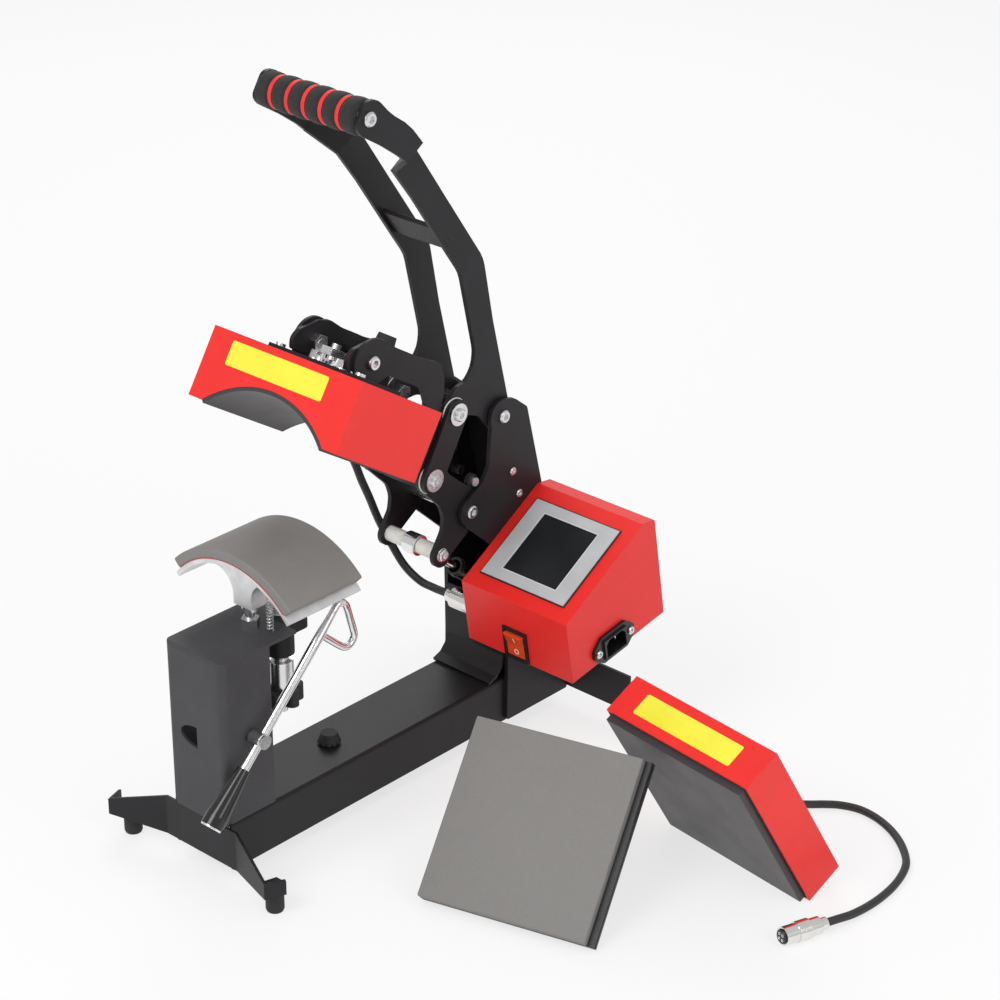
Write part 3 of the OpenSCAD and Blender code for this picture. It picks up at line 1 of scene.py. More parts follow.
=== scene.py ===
"""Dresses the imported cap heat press: its finishes, pads, cords, grip, labels and marks."""
import logging
from dataclasses import dataclass, field, replace
from enum import Enum
from math import atan2, cos, degrees, pi, radians, sin, tau
from typing import Iterable, Sequence

import bmesh
import bpy
from mathutils import Euler, Matrix, Vector


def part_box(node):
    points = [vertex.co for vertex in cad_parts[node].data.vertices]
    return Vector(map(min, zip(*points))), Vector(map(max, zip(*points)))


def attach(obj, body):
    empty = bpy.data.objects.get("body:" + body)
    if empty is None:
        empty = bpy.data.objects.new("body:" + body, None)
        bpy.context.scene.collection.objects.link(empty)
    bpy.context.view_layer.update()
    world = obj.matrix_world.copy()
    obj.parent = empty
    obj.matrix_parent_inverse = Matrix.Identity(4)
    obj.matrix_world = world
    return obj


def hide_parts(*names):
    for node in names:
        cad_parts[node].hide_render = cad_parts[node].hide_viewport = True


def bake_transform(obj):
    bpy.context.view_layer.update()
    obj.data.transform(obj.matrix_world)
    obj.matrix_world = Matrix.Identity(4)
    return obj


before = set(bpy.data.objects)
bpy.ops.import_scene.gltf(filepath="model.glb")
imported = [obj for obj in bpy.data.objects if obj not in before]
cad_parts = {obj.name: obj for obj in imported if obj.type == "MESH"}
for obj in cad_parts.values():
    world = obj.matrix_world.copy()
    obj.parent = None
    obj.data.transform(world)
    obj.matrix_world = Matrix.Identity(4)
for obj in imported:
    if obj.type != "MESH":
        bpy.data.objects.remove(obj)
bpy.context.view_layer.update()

LOG = logging.getLogger("cap_press")
MM = 0.001
Socket = bpy.types.NodeSocket
BMesh = bmesh.types.BMesh
Pair = tuple[float, float]
Colour = tuple[float, float, float]
Point = tuple[float, float, float]

# Places in millimetres and turns in degrees that the part's own frames share
HEAD_CORNER = (0.0, 112.3, 413.2)
HEAD_TILT = -32.5
SPARE_CORNER = (230.8, 310.8, 0.0)
SPARE_YAW = -6.9
SPARE_LEAN = 30.0
FLAT_CORNER = (160.3, 88.1, 0.0)
FLAT_YAW = 15.5
FLAT_LEAN = 46.5
BOX_EDGE = (264.0, 171.5)
BOX_TOP_BACK = (358.0, 228.0)
BOX_FOOT = (273.0, 114.0)

# In millimetres: vertices nearer than MERGE are one, and an outline at ON_AXIS closes there
MERGE = 0.002
ON_AXIS = 0.001


# Meshes

def local_frame(at: Point, *turns: tuple[str, float]) -> Matrix:
    """Give the matrix of a local frame.

    Args:
        at: The frame's origin in millimetres.
        turns: Axis and degrees of each turn, outermost first.

    Returns:
        The matrix from millimetres in the frame to metres in the row frame.
    """
    result = Matrix.Translation(Vector(at) * MM)
    for axis, angle in turns:
        result = result @ Matrix.Rotation(radians(angle), 4, axis)
    return result @ Matrix.Scale(MM, 4)


HEAD = local_frame(HEAD_CORNER, ("X", HEAD_TILT))
SPARE = local_frame(SPARE_CORNER, ("Z", SPARE_YAW), ("X", SPARE_LEAN))
FLAT = local_frame(FLAT_CORNER, ("Z", FLAT_YAW), ("X", FLAT_LEAN))


def flow(points: Sequence[Point], steps: int = 8) -> list[Vector]:
    """Run one smooth line through a route's points.

    Args:
        points: The route in millimetres.
        steps: Pieces between two of its points.

    Returns:
        The points of the line in metres.
    """
    p = [Vector(q) * MM for q in points]
    p = [p[0] * 2 - p[1], *p, p[-1] * 2 - p[-2]]
    line = []
    for a, b, c, d in zip(p, p[1:], p[2:], p[3:]):
        for i in range(steps):
            t = i / steps
            line.append(0.5 * (2 * b + (c - a) * t + (2 * a - 5 * b + 4 * c - d) * t ** 2
                               + (3 * b - a - 3 * c + d) * t ** 3))
    return line + [p[-2]]


def length_of(line: Sequence[Vector]) -> float:
    """Return a line's length in metres."""
    return sum((b - a).length for a, b in zip(line, line[1:]))


def shade_smooth(mesh: bpy.types.Mesh, angle: float = 32.0) -> None:
    """Smooth a mesh's faces up to a given angle between them, in degrees."""
    mesh.polygons.foreach_set("use_smooth", [True] * len(mesh.polygons))
    mesh.set_sharp_from_angle(angle=radians(angle))


def linked(name: str, data: bpy.types.ID) -> bpy.types.Object:
    """Return a new object of the data, linked to the scene."""
    obj = bpy.data.objects.new(name, data)
    bpy.context.scene.collection.objects.link(obj)
    return obj


def piece(name: str, bm: BMesh, finish: "Finish", body: str) -> bpy.types.Object:
    """Turn a bmesh into a finished piece that rides on a body.

    Args:
        name: The piece's name.
        bm: Its mesh in metres, in the row frame; it is freed.
        finish: Its finish.
        body: The body that it moves with, or an empty string where it rides on no body.

    Returns:
        The piece's object.
    """
    bmesh.ops.remove_doubles(bm, verts=bm.verts, dist=MERGE * MM)
    bmesh.ops.recalc_face_normals(bm, faces=bm.faces)
    mesh = bpy.data.meshes.new(name)
    bm.to_mesh(mesh)
    bm.free()
    shade_smooth(mesh)
    mesh.materials.append(finish.material())
    obj = linked(name, mesh)
    if body:
        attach(obj, body)
    LOG.info("piece %s: %d faces on %s", name, len(mesh.polygons), body or "a blend")
    return obj


def tube(bm: BMesh, line: Sequence[Vector], radii: Sequence[float] | float,
         sides: int = 16) -> None:
    """Add a closed round tube along a line.

    Args:
        bm: The mesh that takes it.
        line: The line's points in metres.
        radii: The radius in millimetres, one for all or one for each point.
        sides: Faces round the tube, a multiple of 4.
    """
    if isinstance(radii, (int, float)):
        radii = [radii] * len(line)
    curve = bpy.data.curves.new("line", "CURVE")
    curve.dimensions = "3D"
    curve.bevel_depth = MM
    curve.bevel_resolution = sides // 4 - 1
    curve.use_fill_caps = True
    spline = curve.splines.new("POLY")
    spline.points.add(len(line) - 1)
    for point, at, radius in zip(spline.points, line, radii):
        point.co = (*at, 1.0)
        point.radius = radius
    holder = bpy.data.objects.new("line", curve)
    mesh = bpy.data.meshes.new_from_object(holder)
    bm.from_mesh(mesh)
    bpy.data.objects.remove(holder)
    bpy.data.curves.remove(curve)
    bpy.data.meshes.remove(mesh)


def ring(bore: float, radius: float, thick: float, edge: float, start: float = 0.0) -> list[Pair]:
    """Return a ring's outline with chamfered outer edges, whose bore starts at a height."""
    return [(bore, start), (radius - edge, 0), (radius, edge), (radius, thick - edge),
            (radius - edge, thick), (bore, thick)]


def join(bm: BMesh, part: BMesh, place: Matrix) -> None:
    """Add a part to a mesh.

    Args:
        bm: The mesh that takes it.
        part: The part in millimetres, in its local frame; it is freed.
        place: The matrix of the local frame.
    """
    bmesh.ops.transform(part, matrix=place, verts=part.verts)
    mesh = bpy.data.meshes.new("part")
    part.to_mesh(mesh)
    part.free()
    bm.from_mesh(mesh)
    bpy.data.meshes.remove(mesh)


def turned(bm: BMesh, outline: Sequence[Pair], place: Matrix,
           steps: int = 48, closed: bool = True) -> None:
    """Add a body turned about a local Z axis.

    Args:
        bm: The mesh that takes it.
        outline: Radius and height of each point of its outline, in millimetres.
        place: The matrix of the local frame.
        steps: Faces round the body.
        closed: Whether the outline's last point joins its first.
    """
    part = bmesh.new()
    verts = [part.verts.new((r, 0.0, z)) for r, z in outline]
    pairs = list(zip(verts, verts[1:])) + ([(verts[-1], verts[0])] if closed else [])
    edges = [part.edges.new(pair) for pair in pairs]
    bmesh.ops.spin(part, geom=verts + edges, cent=(0, 0, 0), axis=(0, 0, 1), angle=tau,
                   steps=steps, use_merge=True, use_duplicate=False)
    bmesh.ops.remove_doubles(part, verts=part.verts, dist=MERGE)
    join(bm, part, place)


def soften(part: BMesh, radius: float, segments: int = 3,
           angle: float = 40.0) -> None:
    """Round the edges of a part that turn by more than an angle in degrees."""
    sharp = [e for e in part.edges
             if len(e.link_faces) == 2 and e.calc_face_angle() > radians(angle)]
    bmesh.ops.bevel(part, geom=sharp, offset=radius, affect="EDGES", segments=segments,
                    profile=0.5, material=-1)


def slab(bm: BMesh, size: Point, place: Matrix, edge: float,
         corner: float = 0.0) -> None:
    """Add a flat slab with softened edges; its low corner is the local origin.

    Args:
        bm: The mesh that takes it.
        size: Its width, height and thickness in millimetres.
        place: The matrix of the local frame.
        edge: The radius of its edges.
        corner: The radius of its four upright corners.
    """
    part = bmesh.new()
    bmesh.ops.create_cube(part, size=1.0)
    bmesh.ops.translate(part, verts=part.verts, vec=(0.5, 0.5, 0.5))
    bmesh.ops.scale(part, verts=part.verts, vec=size)
    if corner:
        upright = [e for e in part.edges if (e.verts[0].co.xy - e.verts[1].co.xy).length < 1e-4]
        bmesh.ops.bevel(part, geom=upright, offset=corner, affect="EDGES", segments=6,
                        profile=0.5, material=-1)
    soften(part, edge)
    join(bm, part, place)


# Finishes

# The values that most of a noise has, and the cosines where an edge's mask starts and is full
NOISE_RANGE = (0.3, 0.7)
EDGE_RANGE = (0.985, 0.86)


def shaded(colour: Colour, factor: float) -> Colour:
    """Return a colour made darker or lighter by a factor."""
    return tuple(min(1.0, c * factor) for c in colour)


class Nodes:
    """A node tree that starts empty."""

    def __init__(self, tree: bpy.types.NodeTree) -> None:
        """Empty the tree."""
        self.tree = tree
        self.tree.nodes.clear()

    def add(self, kind: str, inputs: dict | None = None, **settings: object) -> bpy.types.Node:
        """Add a node.

        Args:
            kind: The node's type.
            inputs: Values or sockets for its inputs, by name or number.
            settings: Other settings of the node.

        Returns:
            The node.
        """
        node = self.tree.nodes.new(kind)
        for key, value in settings.items():
            setattr(node, key, value)
        for key, value in (inputs or {}).items():
            self.feed(node.inputs[key], value)
        return node

    def feed(self, target: Socket, value: object) -> None:
        """Join a socket to a socket, or set it to a plain value."""
        if isinstance(value, Socket):
            self.tree.links.new(value, target)
        elif isinstance(value, tuple) and len(value) == 3 and target.type == "RGBA":
            target.default_value = (*value, 1.0)
        else:
            target.default_value = value

    def math(self, operation: str, *values: object) -> Socket:
        """Give the outcome of one Math node."""
        return self.add("ShaderNodeMath", dict(enumerate(values)), operation=operation).outputs[0]

    def times(self, a: object, b: object) -> Socket:
        """Give a value times another."""
        return self.math("MULTIPLY", a, b)

    def remap(self, value: object, low: float, high: float, to_low: float = 0.0,
              to_high: float = 1.0) -> Socket:
        """Give a value stretched from one range to another, held at its ends."""
        return self.add("ShaderNodeMapRange", {
            "Value": value, "From Min": low, "From Max": high,
            "To Min": to_low, "To Max": to_high}).outputs[0]


class Shade(Nodes):
    """The node tree of one finish."""

    def __init__(self, name: str) -> None:
        """Start the tree with a principled surface on object coordinates."""
        self.material = bpy.data.materials.new(name)
        self.material.use_nodes = True
        super().__init__(self.material.node_tree)
        self.surface = self.add("ShaderNodeBsdfPrincipled")
        self.output = self.add("ShaderNodeOutputMaterial")
        self.tree.links.new(self.surface.outputs[0], self.output.inputs["Surface"])
        self.place = self.add("ShaderNodeTexCoord").outputs["Object"]

    def look(self, **values: object) -> None:
        """Set the surface's inputs; underscores in a name stand for spaces."""
        for key, value in values.items():
            self.feed(self.surface.inputs[key.replace("_", " ")], value)

    def mapped(self, stretch: Point = (1, 1, 1), at: Point = (0, 0, 0),
               turn: Point = (0, 0, 0)) -> Socket:
        """Give object coordinates in a local frame.

        Args:
            stretch: The scale along each local axis.
            at: The frame's origin in millimetres.
            turn: Its turns in degrees.

        Returns:
            The socket of the coordinates.
        """
        moved = self.add("ShaderNodeMapping", {
            "Vector": self.place, "Location": Vector(at) * MM,
            "Rotation": Euler([radians(a) for a in turn]), "Scale": stretch}, vector_type="TEXTURE")
        return moved.outputs[0]

    def noise(self, size: float, detail: float = 2.0,
              vector: object = None) -> Socket:
        """Give noise whose spots are about size millimetres across."""
        return self.add("ShaderNodeTexNoise", {
            "Vector": vector or self.place, "Scale": 1 / (size * MM),
            "Detail": detail}).outputs[0]

    def cells(self, size: float) -> Socket:
        """Give the distance to the middle of cells about size millimetres across."""
        return self.add("ShaderNodeTexVoronoi", {
            "Vector": self.place, "Scale": 1 / (size * MM)}).outputs["Distance"]

    def vary(self, value: object, low: float = 0.0, high: float = 1.0) -> Socket:
        """Give a noise's values stretched to a range."""
        return self.remap(value, *NOISE_RANGE, low, high)

    def mix(self, share: object, a: object, b: object) -> Socket:
        """Give colour a mixed with colour b by a share."""
        return self.add("ShaderNodeMix", {0: share, 6: a, 7: b}, data_type="RGBA").outputs[2]

    def tint(self, colour: Colour, amount: float, share: object) -> Socket:
        """Give a colour that runs from darker to lighter by an amount, by a share."""
        return self.mix(share, shaded(colour, 1 - amount), shaded(colour, 1 + amount))

    def rounded(self, radius: float) -> Socket:
        """Give normals that round the edges by a radius in millimetres."""
        return self.add("ShaderNodeBevel", {"Radius": radius * MM}, samples=4).outputs[0]

    def edges(self, radius: float) -> Socket:
        """Give a mask that is 1 on edges and 0 on flats."""
        true = self.add("ShaderNodeNewGeometry").outputs["True Normal"]
        along = self.add("ShaderNodeVectorMath", {0: self.rounded(radius), 1: true},
                         operation="DOT_PRODUCT").outputs["Value"]
        return self.remap(along, *EDGE_RANGE)

    def bump(self, height: object, depth: float, normal: object = None) -> Socket:
        """Give normals bumped by a height, of a depth in millimetres."""
        inputs = {"Height": height, "Distance": depth * MM, "Strength": 1.0}
        if normal is not None:
            inputs["Normal"] = normal
        return self.add("ShaderNodeBump", inputs).outputs[0]


class Brush(Enum):
    """Direction of a metal's fine scratches, as the stretch of its noise."""

    NONE = (1.0, 1.0, 1.0)
    ALONG_X = (30.0, 1.0, 1.0)
    ALONG_Y = (1.0, 30.0, 1.0)


@dataclass(frozen=True)
class Finish:
    """A surface finish; its sizes are in millimetres."""

    name: str
    colour: Colour

    def paint(self, s: Shade) -> None:
        """Write the finish's nodes."""
        raise NotImplementedError

    def material(self) -> bpy.types.Material:
        """Return the finish's material, made on first use."""
        made = bpy.data.materials.get(self.name)
        if made is None:
            shade = Shade(self.name)
            self.paint(shade)
            made = shade.material
        return made


@dataclass(frozen=True)
class PowderCoat(Finish):
    """Powder coat with orange peel, clouding, dust, and edges lightened as wear and painted
    highlight.
    """

    # Paler colour for dust, edge wear and painted edge highlight
    dust_wear_highlight_colour: Colour
    roughness: float = 0.42
    grain: float = 1.4
    depth: float = 0.05
    edge: float = 0.8
    wear_highlight_share: float = 0.5
    speckle: float = 0.0
    gloss_coat: float = 0.0
    cloud: float = 0.1
    dust: float = 0.2
    shine: float = 0.5
    cloud_size: float = 42.0
    speckle_size: float = 0.55
    dust_size: float = 9.0
    wear_highlight_size: float = 5.0

    def paint(self, s: Shade) -> None:
        """Write the finish's nodes."""
        peel = s.noise(self.grain, 3.0)
        base = s.tint(self.colour, self.cloud, s.remap(s.noise(self.cloud_size, 4.0), 0.35, 0.65))
        if self.speckle:
            dots = s.times(s.remap(s.noise(self.speckle_size, 2.0), 0.6, 0.72), self.speckle)
            base = s.mix(dots, base, shaded(self.colour, 2.6))
        dust = s.times(s.remap(s.cells(self.dust_size), 0.05, 0.0),
                       s.remap(s.noise(30.0), 0.5, 0.65))
        base = s.mix(s.times(dust, self.dust), base, self.dust_wear_highlight_colour)
        # Edges lightened towards the paler colour, broken by noise: edge wear and painted edge
        # highlight
        wear_highlight_mask = s.times(s.edges(self.edge), s.remap(s.noise(self.wear_highlight_size, 4.0), 0.42, 0.72))
        s.look(Base_Color=s.mix(s.times(wear_highlight_mask, self.wear_highlight_share), base, self.dust_wear_highlight_colour),
               Roughness=s.vary(peel, self.roughness - 0.05, self.roughness + 0.07),
               Normal=s.bump(peel, self.depth, s.rounded(self.edge)),
               Coat_Weight=self.gloss_coat, Coat_Roughness=0.22,
               Specular_IOR_Level=self.shine)


@dataclass(frozen=True)
class Metal(Finish):
    """Bare or plated metal with fine scratches and a little staining."""

    roughness: float = 0.25
    brush: Brush = Brush.NONE
    scratch: float = 0.6
    depth: float = 0.012
    edge: float = 0.35
    stain: float = 0.22
    stain_size: float = 11.0

    def lines(self, s: Shade) -> Socket:
        """Give the height of the fine scratches."""
        return s.noise(self.scratch, 3.0, s.mapped(self.brush.value))

    def paint(self, s: Shade) -> None:
        """Write the finish's nodes."""
        height = self.lines(s)
        stain = s.remap(s.noise(self.stain_size, 4.0), 0.45, 0.75)
        base = s.tint(self.colour, 0.07, height)
        s.look(Metallic=1.0,
               Base_Color=s.mix(s.times(stain, self.stain), base, shaded(self.colour, 0.55)),
               Roughness=s.vary(height, self.roughness - 0.06, self.roughness + 0.09),
               Normal=s.bump(height, self.depth, s.rounded(self.edge)))


@dataclass(frozen=True)
class TurnedMetal(Metal):
    """Plated metal with a thread or knurl from low to high on a local Z axis."""

    at: Point = (0, 0, 0)
    turn: Point = (0, 0, 0)
    pitch: float = 1.25
    teeth: int = 0
    low: float = -1000.0
    high: float = 1000.0

    def lines(self, s: Shade) -> Socket:
        """Give the height of the thread's or the knurl's ridges."""
        axes = s.add("ShaderNodeSeparateXYZ", {0: s.mapped(at=self.at, turn=self.turn)}).outputs
        angle = s.math("ARCTAN2", axes[1], axes[0])
        rise = s.times(axes[2], tau / (self.pitch * MM))
        cut = s.times(s.math("GREATER_THAN", axes[2], self.low * MM),
                      s.math("LESS_THAN", axes[2], self.high * MM))
        if self.teeth:
            spin = s.times(angle, float(self.teeth))
            wave = s.times(s.math("SINE", s.math("ADD", spin, rise)),
                           s.math("SINE", s.math("SUBTRACT", spin, rise)))
        else:
            wave = s.math("SINE", s.math("ADD", rise, angle))
        return s.remap(s.times(wave, cut), -1.0, 1.0)


@dataclass(frozen=True)
class CastMetal(Finish):
    """Cast aluminium, sanded on its faces."""

    roughness: float = 0.42
    # Paler colour of the edges: worn bare metal and painted edge highlight
    bare_and_edge_highlight: Colour = (0.9, 0.9, 0.9)
    pit: float = 1.6
    grit: float = 0.5
    depth: float = 0.05
    edge: float = 0.7

    def paint(self, s: Shade) -> None:
        """Write the finish's nodes."""
        pits = s.remap(s.cells(self.pit), 0.0, 0.45)
        sand = s.noise(self.grit, 2.0, s.mapped(Brush.ALONG_Y.value))
        skin = s.math("ADD", s.times(pits, 0.6), s.times(sand, 0.5))
        base = s.tint(self.colour, 0.10, s.remap(s.noise(14.0, 4.0), 0.35, 0.65))
        # Edges lightened towards the paler colour: edge wear and painted edge highlight
        s.look(Metallic=0.85, Base_Color=s.mix(s.times(s.edges(self.edge), 0.4), base, self.bare_and_edge_highlight),
               Roughness=s.vary(sand, self.roughness - 0.08, self.roughness + 0.1),
               Normal=s.bump(skin, self.depth, s.rounded(self.edge)))


@dataclass(frozen=True)
class Moulded(Finish):
    """Moulded plastic or rubber with a fine spark-eroded grain."""

    roughness: float = 0.45
    grain: float = 0.45
    depth: float = 0.02
    edge: float = 0.4
    see_through: float = 0.0
    milky: float = 0.0

    def paint(self, s: Shade) -> None:
        """Write the finish's nodes."""
        grain = s.noise(self.grain, 2.0)
        base = s.tint(self.colour, 0.08, s.vary(s.noise(12.0, 3.0)))
        # Edges mixed towards a paler colour: painted edge highlight
        light = tuple(min(1.0, c * 1.7 + 0.01) for c in self.colour)
        s.look(Base_Color=s.mix(s.times(s.edges(self.edge), 0.4), base, light),
               Roughness=s.vary(grain, self.roughness - 0.06, self.roughness + 0.08),
               Normal=s.bump(grain, self.depth, s.rounded(self.edge)),
               Transmission_Weight=self.see_through, Subsurface_Weight=self.milky,
               Subsurface_Scale=0.002)


@dataclass(frozen=True)
class Foam(Finish):
    """Closed-cell foam with open pores and a dusty sheen."""

    pore: float = 1.1
    grain: float = 0.35
    depth: float = 0.24

    def paint(self, s: Shade) -> None:
        """Write the finish's nodes."""
        pores = s.remap(s.cells(self.pore), 0.05, 0.5)
        skin = s.math("ADD", s.times(pores, 0.7), s.times(s.noise(self.grain, 3.0), 0.6))
        # Pores darker: painted shade in the pores
        pore_shade = shaded(self.colour, 0.45)
        s.look(Base_Color=s.mix(pores, pore_shade, s.tint(self.colour, 0.3, s.noise(6.0, 3.0))),
               Roughness=0.93, Normal=s.bump(skin, self.depth), Sheen_Weight=0.1,
               Sheen_Roughness=0.5, Specular_IOR_Level=0.25)


@dataclass(frozen=True)
class Silicone(Finish):
    """Sponge silicone sheet with a speckled, matt skin."""

    cloud_size: float = 22.0
    pale_speck: float = 0.7
    dark_speck: float = 1.1
    depth: float = 0.06

    def paint(self, s: Shade) -> None:
        """Write the finish's nodes."""
        cloud = s.vary(s.noise(self.cloud_size, 5.0))
        speck = s.noise(self.pale_speck, 3.0)
        base = s.mix(s.remap(speck, 0.55, 0.75, 0.0, 0.5),
                     s.tint(self.colour, 0.035, cloud), shaded(self.colour, 1.4))
        base = s.mix(s.remap(s.noise(self.dark_speck, 2.0), 0.62, 0.74, 0.0, 0.35), base,
                     shaded(self.colour, 0.6))
        skin = s.math("ADD", s.times(speck, 0.8), s.times(s.cells(2.4), 0.3))
        s.look(Base_Color=base, Roughness=s.remap(cloud, 0.0, 1.0, 0.5, 0.62),
               Normal=s.bump(skin, self.depth), Specular_IOR_Level=0.4)


@dataclass(frozen=True)
class NonStick(Finish):
    """Non-stick coat on the heaters: dark grey with a soft metal fleck."""

    fleck_colour: Colour = (0.2, 0.19, 0.2)
    fleck_size: float = 0.5
    cloud_size: float = 24.0
    depth: float = 0.015
    edge: float = 0.5

    def paint(self, s: Shade) -> None:
        """Write the finish's nodes."""
        fleck = s.noise(self.fleck_size, 2.0)
        cloud = s.noise(self.cloud_size, 2.0)
        base = s.mix(s.remap(fleck, 0.58, 0.7, 0.0, 0.25), s.tint(self.colour, 0.05, cloud),
                     self.fleck_colour)
        s.look(Base_Color=base, Metallic=0.05, Roughness=s.vary(cloud, 0.4, 0.46),
               Normal=s.bump(fleck, self.depth, s.rounded(self.edge)))


@dataclass(frozen=True)
class Film(Finish):
    """Printed or anodised film: flat colour with paper-fine grain and a clear top."""

    roughness: float = 0.35
    fade: float = 0.06
    fibre: float = 0.8

    def paint(self, s: Shade) -> None:
        """Write the finish's nodes."""
        fibre = s.noise(self.fibre, 3.0)
        base = s.tint(self.colour, self.fade, s.vary(s.noise(26.0, 3.0)))
        s.look(Base_Color=s.mix(s.vary(fibre, 0.0, 0.06), base, (0.2, 0.2, 0.2)),
               Roughness=s.vary(fibre, self.roughness - 0.04, self.roughness + 0.05),
               Normal=s.bump(s.noise(3.0, 2.0), 0.01), Coat_Weight=0.25, Coat_Roughness=0.12)


@dataclass(frozen=True)
class ScreenGlass(Finish):
    """Dark display glass with faint wipe marks."""

    stroke: Point = (1.0, 3.0, 3.0)
    slant: float = 25.0

    def paint(self, s: Shade) -> None:
        """Write the finish's nodes."""
        wipe = s.noise(16.0, 2.0, s.mapped(self.stroke, turn=(0.0, 0.0, self.slant)))
        s.look(Base_Color=s.tint(self.colour, 0.05, wipe),
               Roughness=s.remap(wipe, 0.4, 0.75, 0.24, 0.28), Specular_IOR_Level=0.35)


@dataclass(frozen=True)
class Jacket(Finish):
    """Cord jacket with a dull skin and fine draw marks."""

    def paint(self, s: Shade) -> None:
        """Write the finish's nodes."""
        skin = s.noise(0.6, 3.0)
        marks = s.noise(4.0, 3.0)
        s.look(Base_Color=s.mix(s.remap(marks, 0.5, 0.75, 0.0, 0.3),
                                s.tint(self.colour, 0.25, skin), shaded(self.colour, 2.2)),
               Roughness=s.vary(skin, 0.42, 0.58), Normal=s.bump(skin, 0.03))


@dataclass(frozen=True)
class Board(Finish):
    """Circuit board with tracks under its green mask."""

    track_scale: float = 260.0

    def paint(self, s: Shade) -> None:
        """Write the finish's nodes."""
        tracks = s.add("ShaderNodeTexBrick", {"Vector": s.place,
                                              "Scale": self.track_scale}).outputs[1]
        s.look(Base_Color=s.mix(tracks, self.colour, shaded(self.colour, 2.4)),
               Roughness=s.vary(s.noise(2.0), 0.25, 0.4), Normal=s.bump(tracks, 0.03))


@dataclass(frozen=True)
class Fibre(Finish):
    """Mineral fibre felt."""

    strand: float = 1.2
    stretch: float = 7.0

    def paint(self, s: Shade) -> None:
        """Write the finish's nodes."""
        strands = s.math("MAXIMUM", *(
            s.noise(self.strand, 4.0, s.mapped(way, turn=(0.0, 0.0, turn)))
            for way, turn in (((self.stretch, 1.0, 1.0), 30.0), ((1.0, self.stretch, 1.0), 15.0))))
        s.look(Base_Color=s.tint(self.colour, 0.2, strands), Roughness=0.95,
               Normal=s.bump(strands, 0.3))


# Pale grey of dust, edge wear and painted edge highlight on the black coats
GREY_DUST_WEAR_HIGHLIGHT = (0.11, 0.108, 0.112)
BLACK_SHEET = PowderCoat("powder_coat_black", (0.0175, 0.0162, 0.0185), GREY_DUST_WEAR_HIGHLIGHT, 0.42, 1.2, 0.045,
                         shine=0.24)
PEDESTAL_COAT = PowderCoat("textured_coat_graphite", (0.044, 0.042, 0.046), (0.16, 0.155, 0.16),
                           0.55, 0.9, 0.09, speckle=0.35)
RED_COAT = PowderCoat("powder_coat_red", (0.86, 0.026, 0.021), (0.95, 0.2, 0.16), 0.36, 1.6,
                      0.025, edge=1.2, wear_highlight_share=0.3, gloss_coat=0.05, cloud=0.025, dust=0.03,
                      shine=0.35)
GAS_BLACK = PowderCoat("cylinder_lacquer", (0.018, 0.018, 0.02), GREY_DUST_WEAR_HIGHLIGHT, 0.25, 2.0, 0.01,
                       gloss_coat=0.4)
BASE_PLATE = PowderCoat("base_plate_coat", (0.03, 0.03, 0.032), (0.12, 0.12, 0.12), 0.5, 0.9, 0.05)
ZINC = Metal("zinc_plate", (0.74, 0.74, 0.755), 0.24)
CHROME = Metal("bright_plate", (0.83, 0.83, 0.84), 0.13, depth=0.006)
TUBE_STEEL = Metal("drawn_tube", (0.5, 0.5, 0.52), 0.35, Brush.ALONG_X)
SPRING_WIRE = Metal("spring_wire", (0.62, 0.62, 0.63), 0.28)
SCREW_THREAD = TurnedMetal("pressure_thread", (0.76, 0.76, 0.77), 0.25, edge=0.2,
                           at=(0.0, 197.5, 359.1), turn=(HEAD_TILT, 0.0, 0.0), depth=0.35)
STUD_THREAD = TurnedMetal("stud_thread", (0.78, 0.78, 0.79), 0.22, edge=0.2,
                          at=(0.0, 92.0, 0.0), depth=0.18, pitch=1.5, low=155.0)
PLUG_METAL = TurnedMetal("plug_shell", (0.84, 0.83, 0.8), 0.16, edge=0.3, at=(0.0, 281.0, 141.0),
                         turn=(0.0, 90.0, 0.0), pitch=2.4, teeth=22, depth=0.05,
                         low=14.0, high=41.0)
LEAD_PLUG_METAL = replace(PLUG_METAL, name="lead_plug_shell", at=(418.0, 268.0, 7.0),
                          turn=(0.0, 87.8, -107.1), low=17.6, high=28.0)
SADDLE = CastMetal("cast_saddle", (0.74, 0.74, 0.75))
KNOB_PLASTIC = Moulded("knob_plastic", (0.017, 0.017, 0.019), 0.42)
GLOSS_BLACK = Moulded("lever_grip_gloss", (0.012, 0.012, 0.013), 0.12, 1.2, 0.006)
BLACK_PLASTIC = Moulded("switch_plastic", (0.012, 0.012, 0.014), 0.3)
FOOT_RUBBER = Moulded("foot_rubber_skin", (0.02, 0.02, 0.021), 0.72, 0.7, 0.04)
NYLON = Moulded("natural_nylon", (0.84, 0.82, 0.76), 0.38, 0.8, 0.015, milky=0.15)
ROCKER_RED = Moulded("rocker_red", (0.93, 0.085, 0.02), 0.18, 0.9, 0.004, see_through=0.12)
MARK_WHITE = Moulded("mark_white", (0.88, 0.87, 0.84), 0.4)
RING_RED = Moulded("ring_red", (0.74, 0.03, 0.028), 0.6, 0.5, 0.05)
BEZEL_FILM = Film("bezel_film", (0.55, 0.56, 0.575), 0.3)
BEZEL_LIP = Film("bezel_lip_film", (0.83, 0.84, 0.85), 0.25, 0.04)
OUTLINE = Film("outline_film", (0.012, 0.012, 0.014), 0.3, 0.1)
LABEL_FILM = Film("label_film", (0.95, 0.87, 0.04), 0.33, 0.04)
SCREEN = ScreenGlass("display_glass", (0.014, 0.015, 0.017))
BOARD = Board("board_mask", (0.02, 0.12, 0.045))
FELT = Fibre("mineral_felt", (0.68, 0.63, 0.5))
FOAM = Foam("grip_foam_skin", (0.034, 0.032, 0.032))
SILICONE = Silicone("silicone_grey", (0.218, 0.21, 0.202))
HEATER_COAT = NonStick("non_stick_coat", (0.044, 0.038, 0.042))
JACKET = Jacket("cord_jacket", (0.022, 0.021, 0.022))

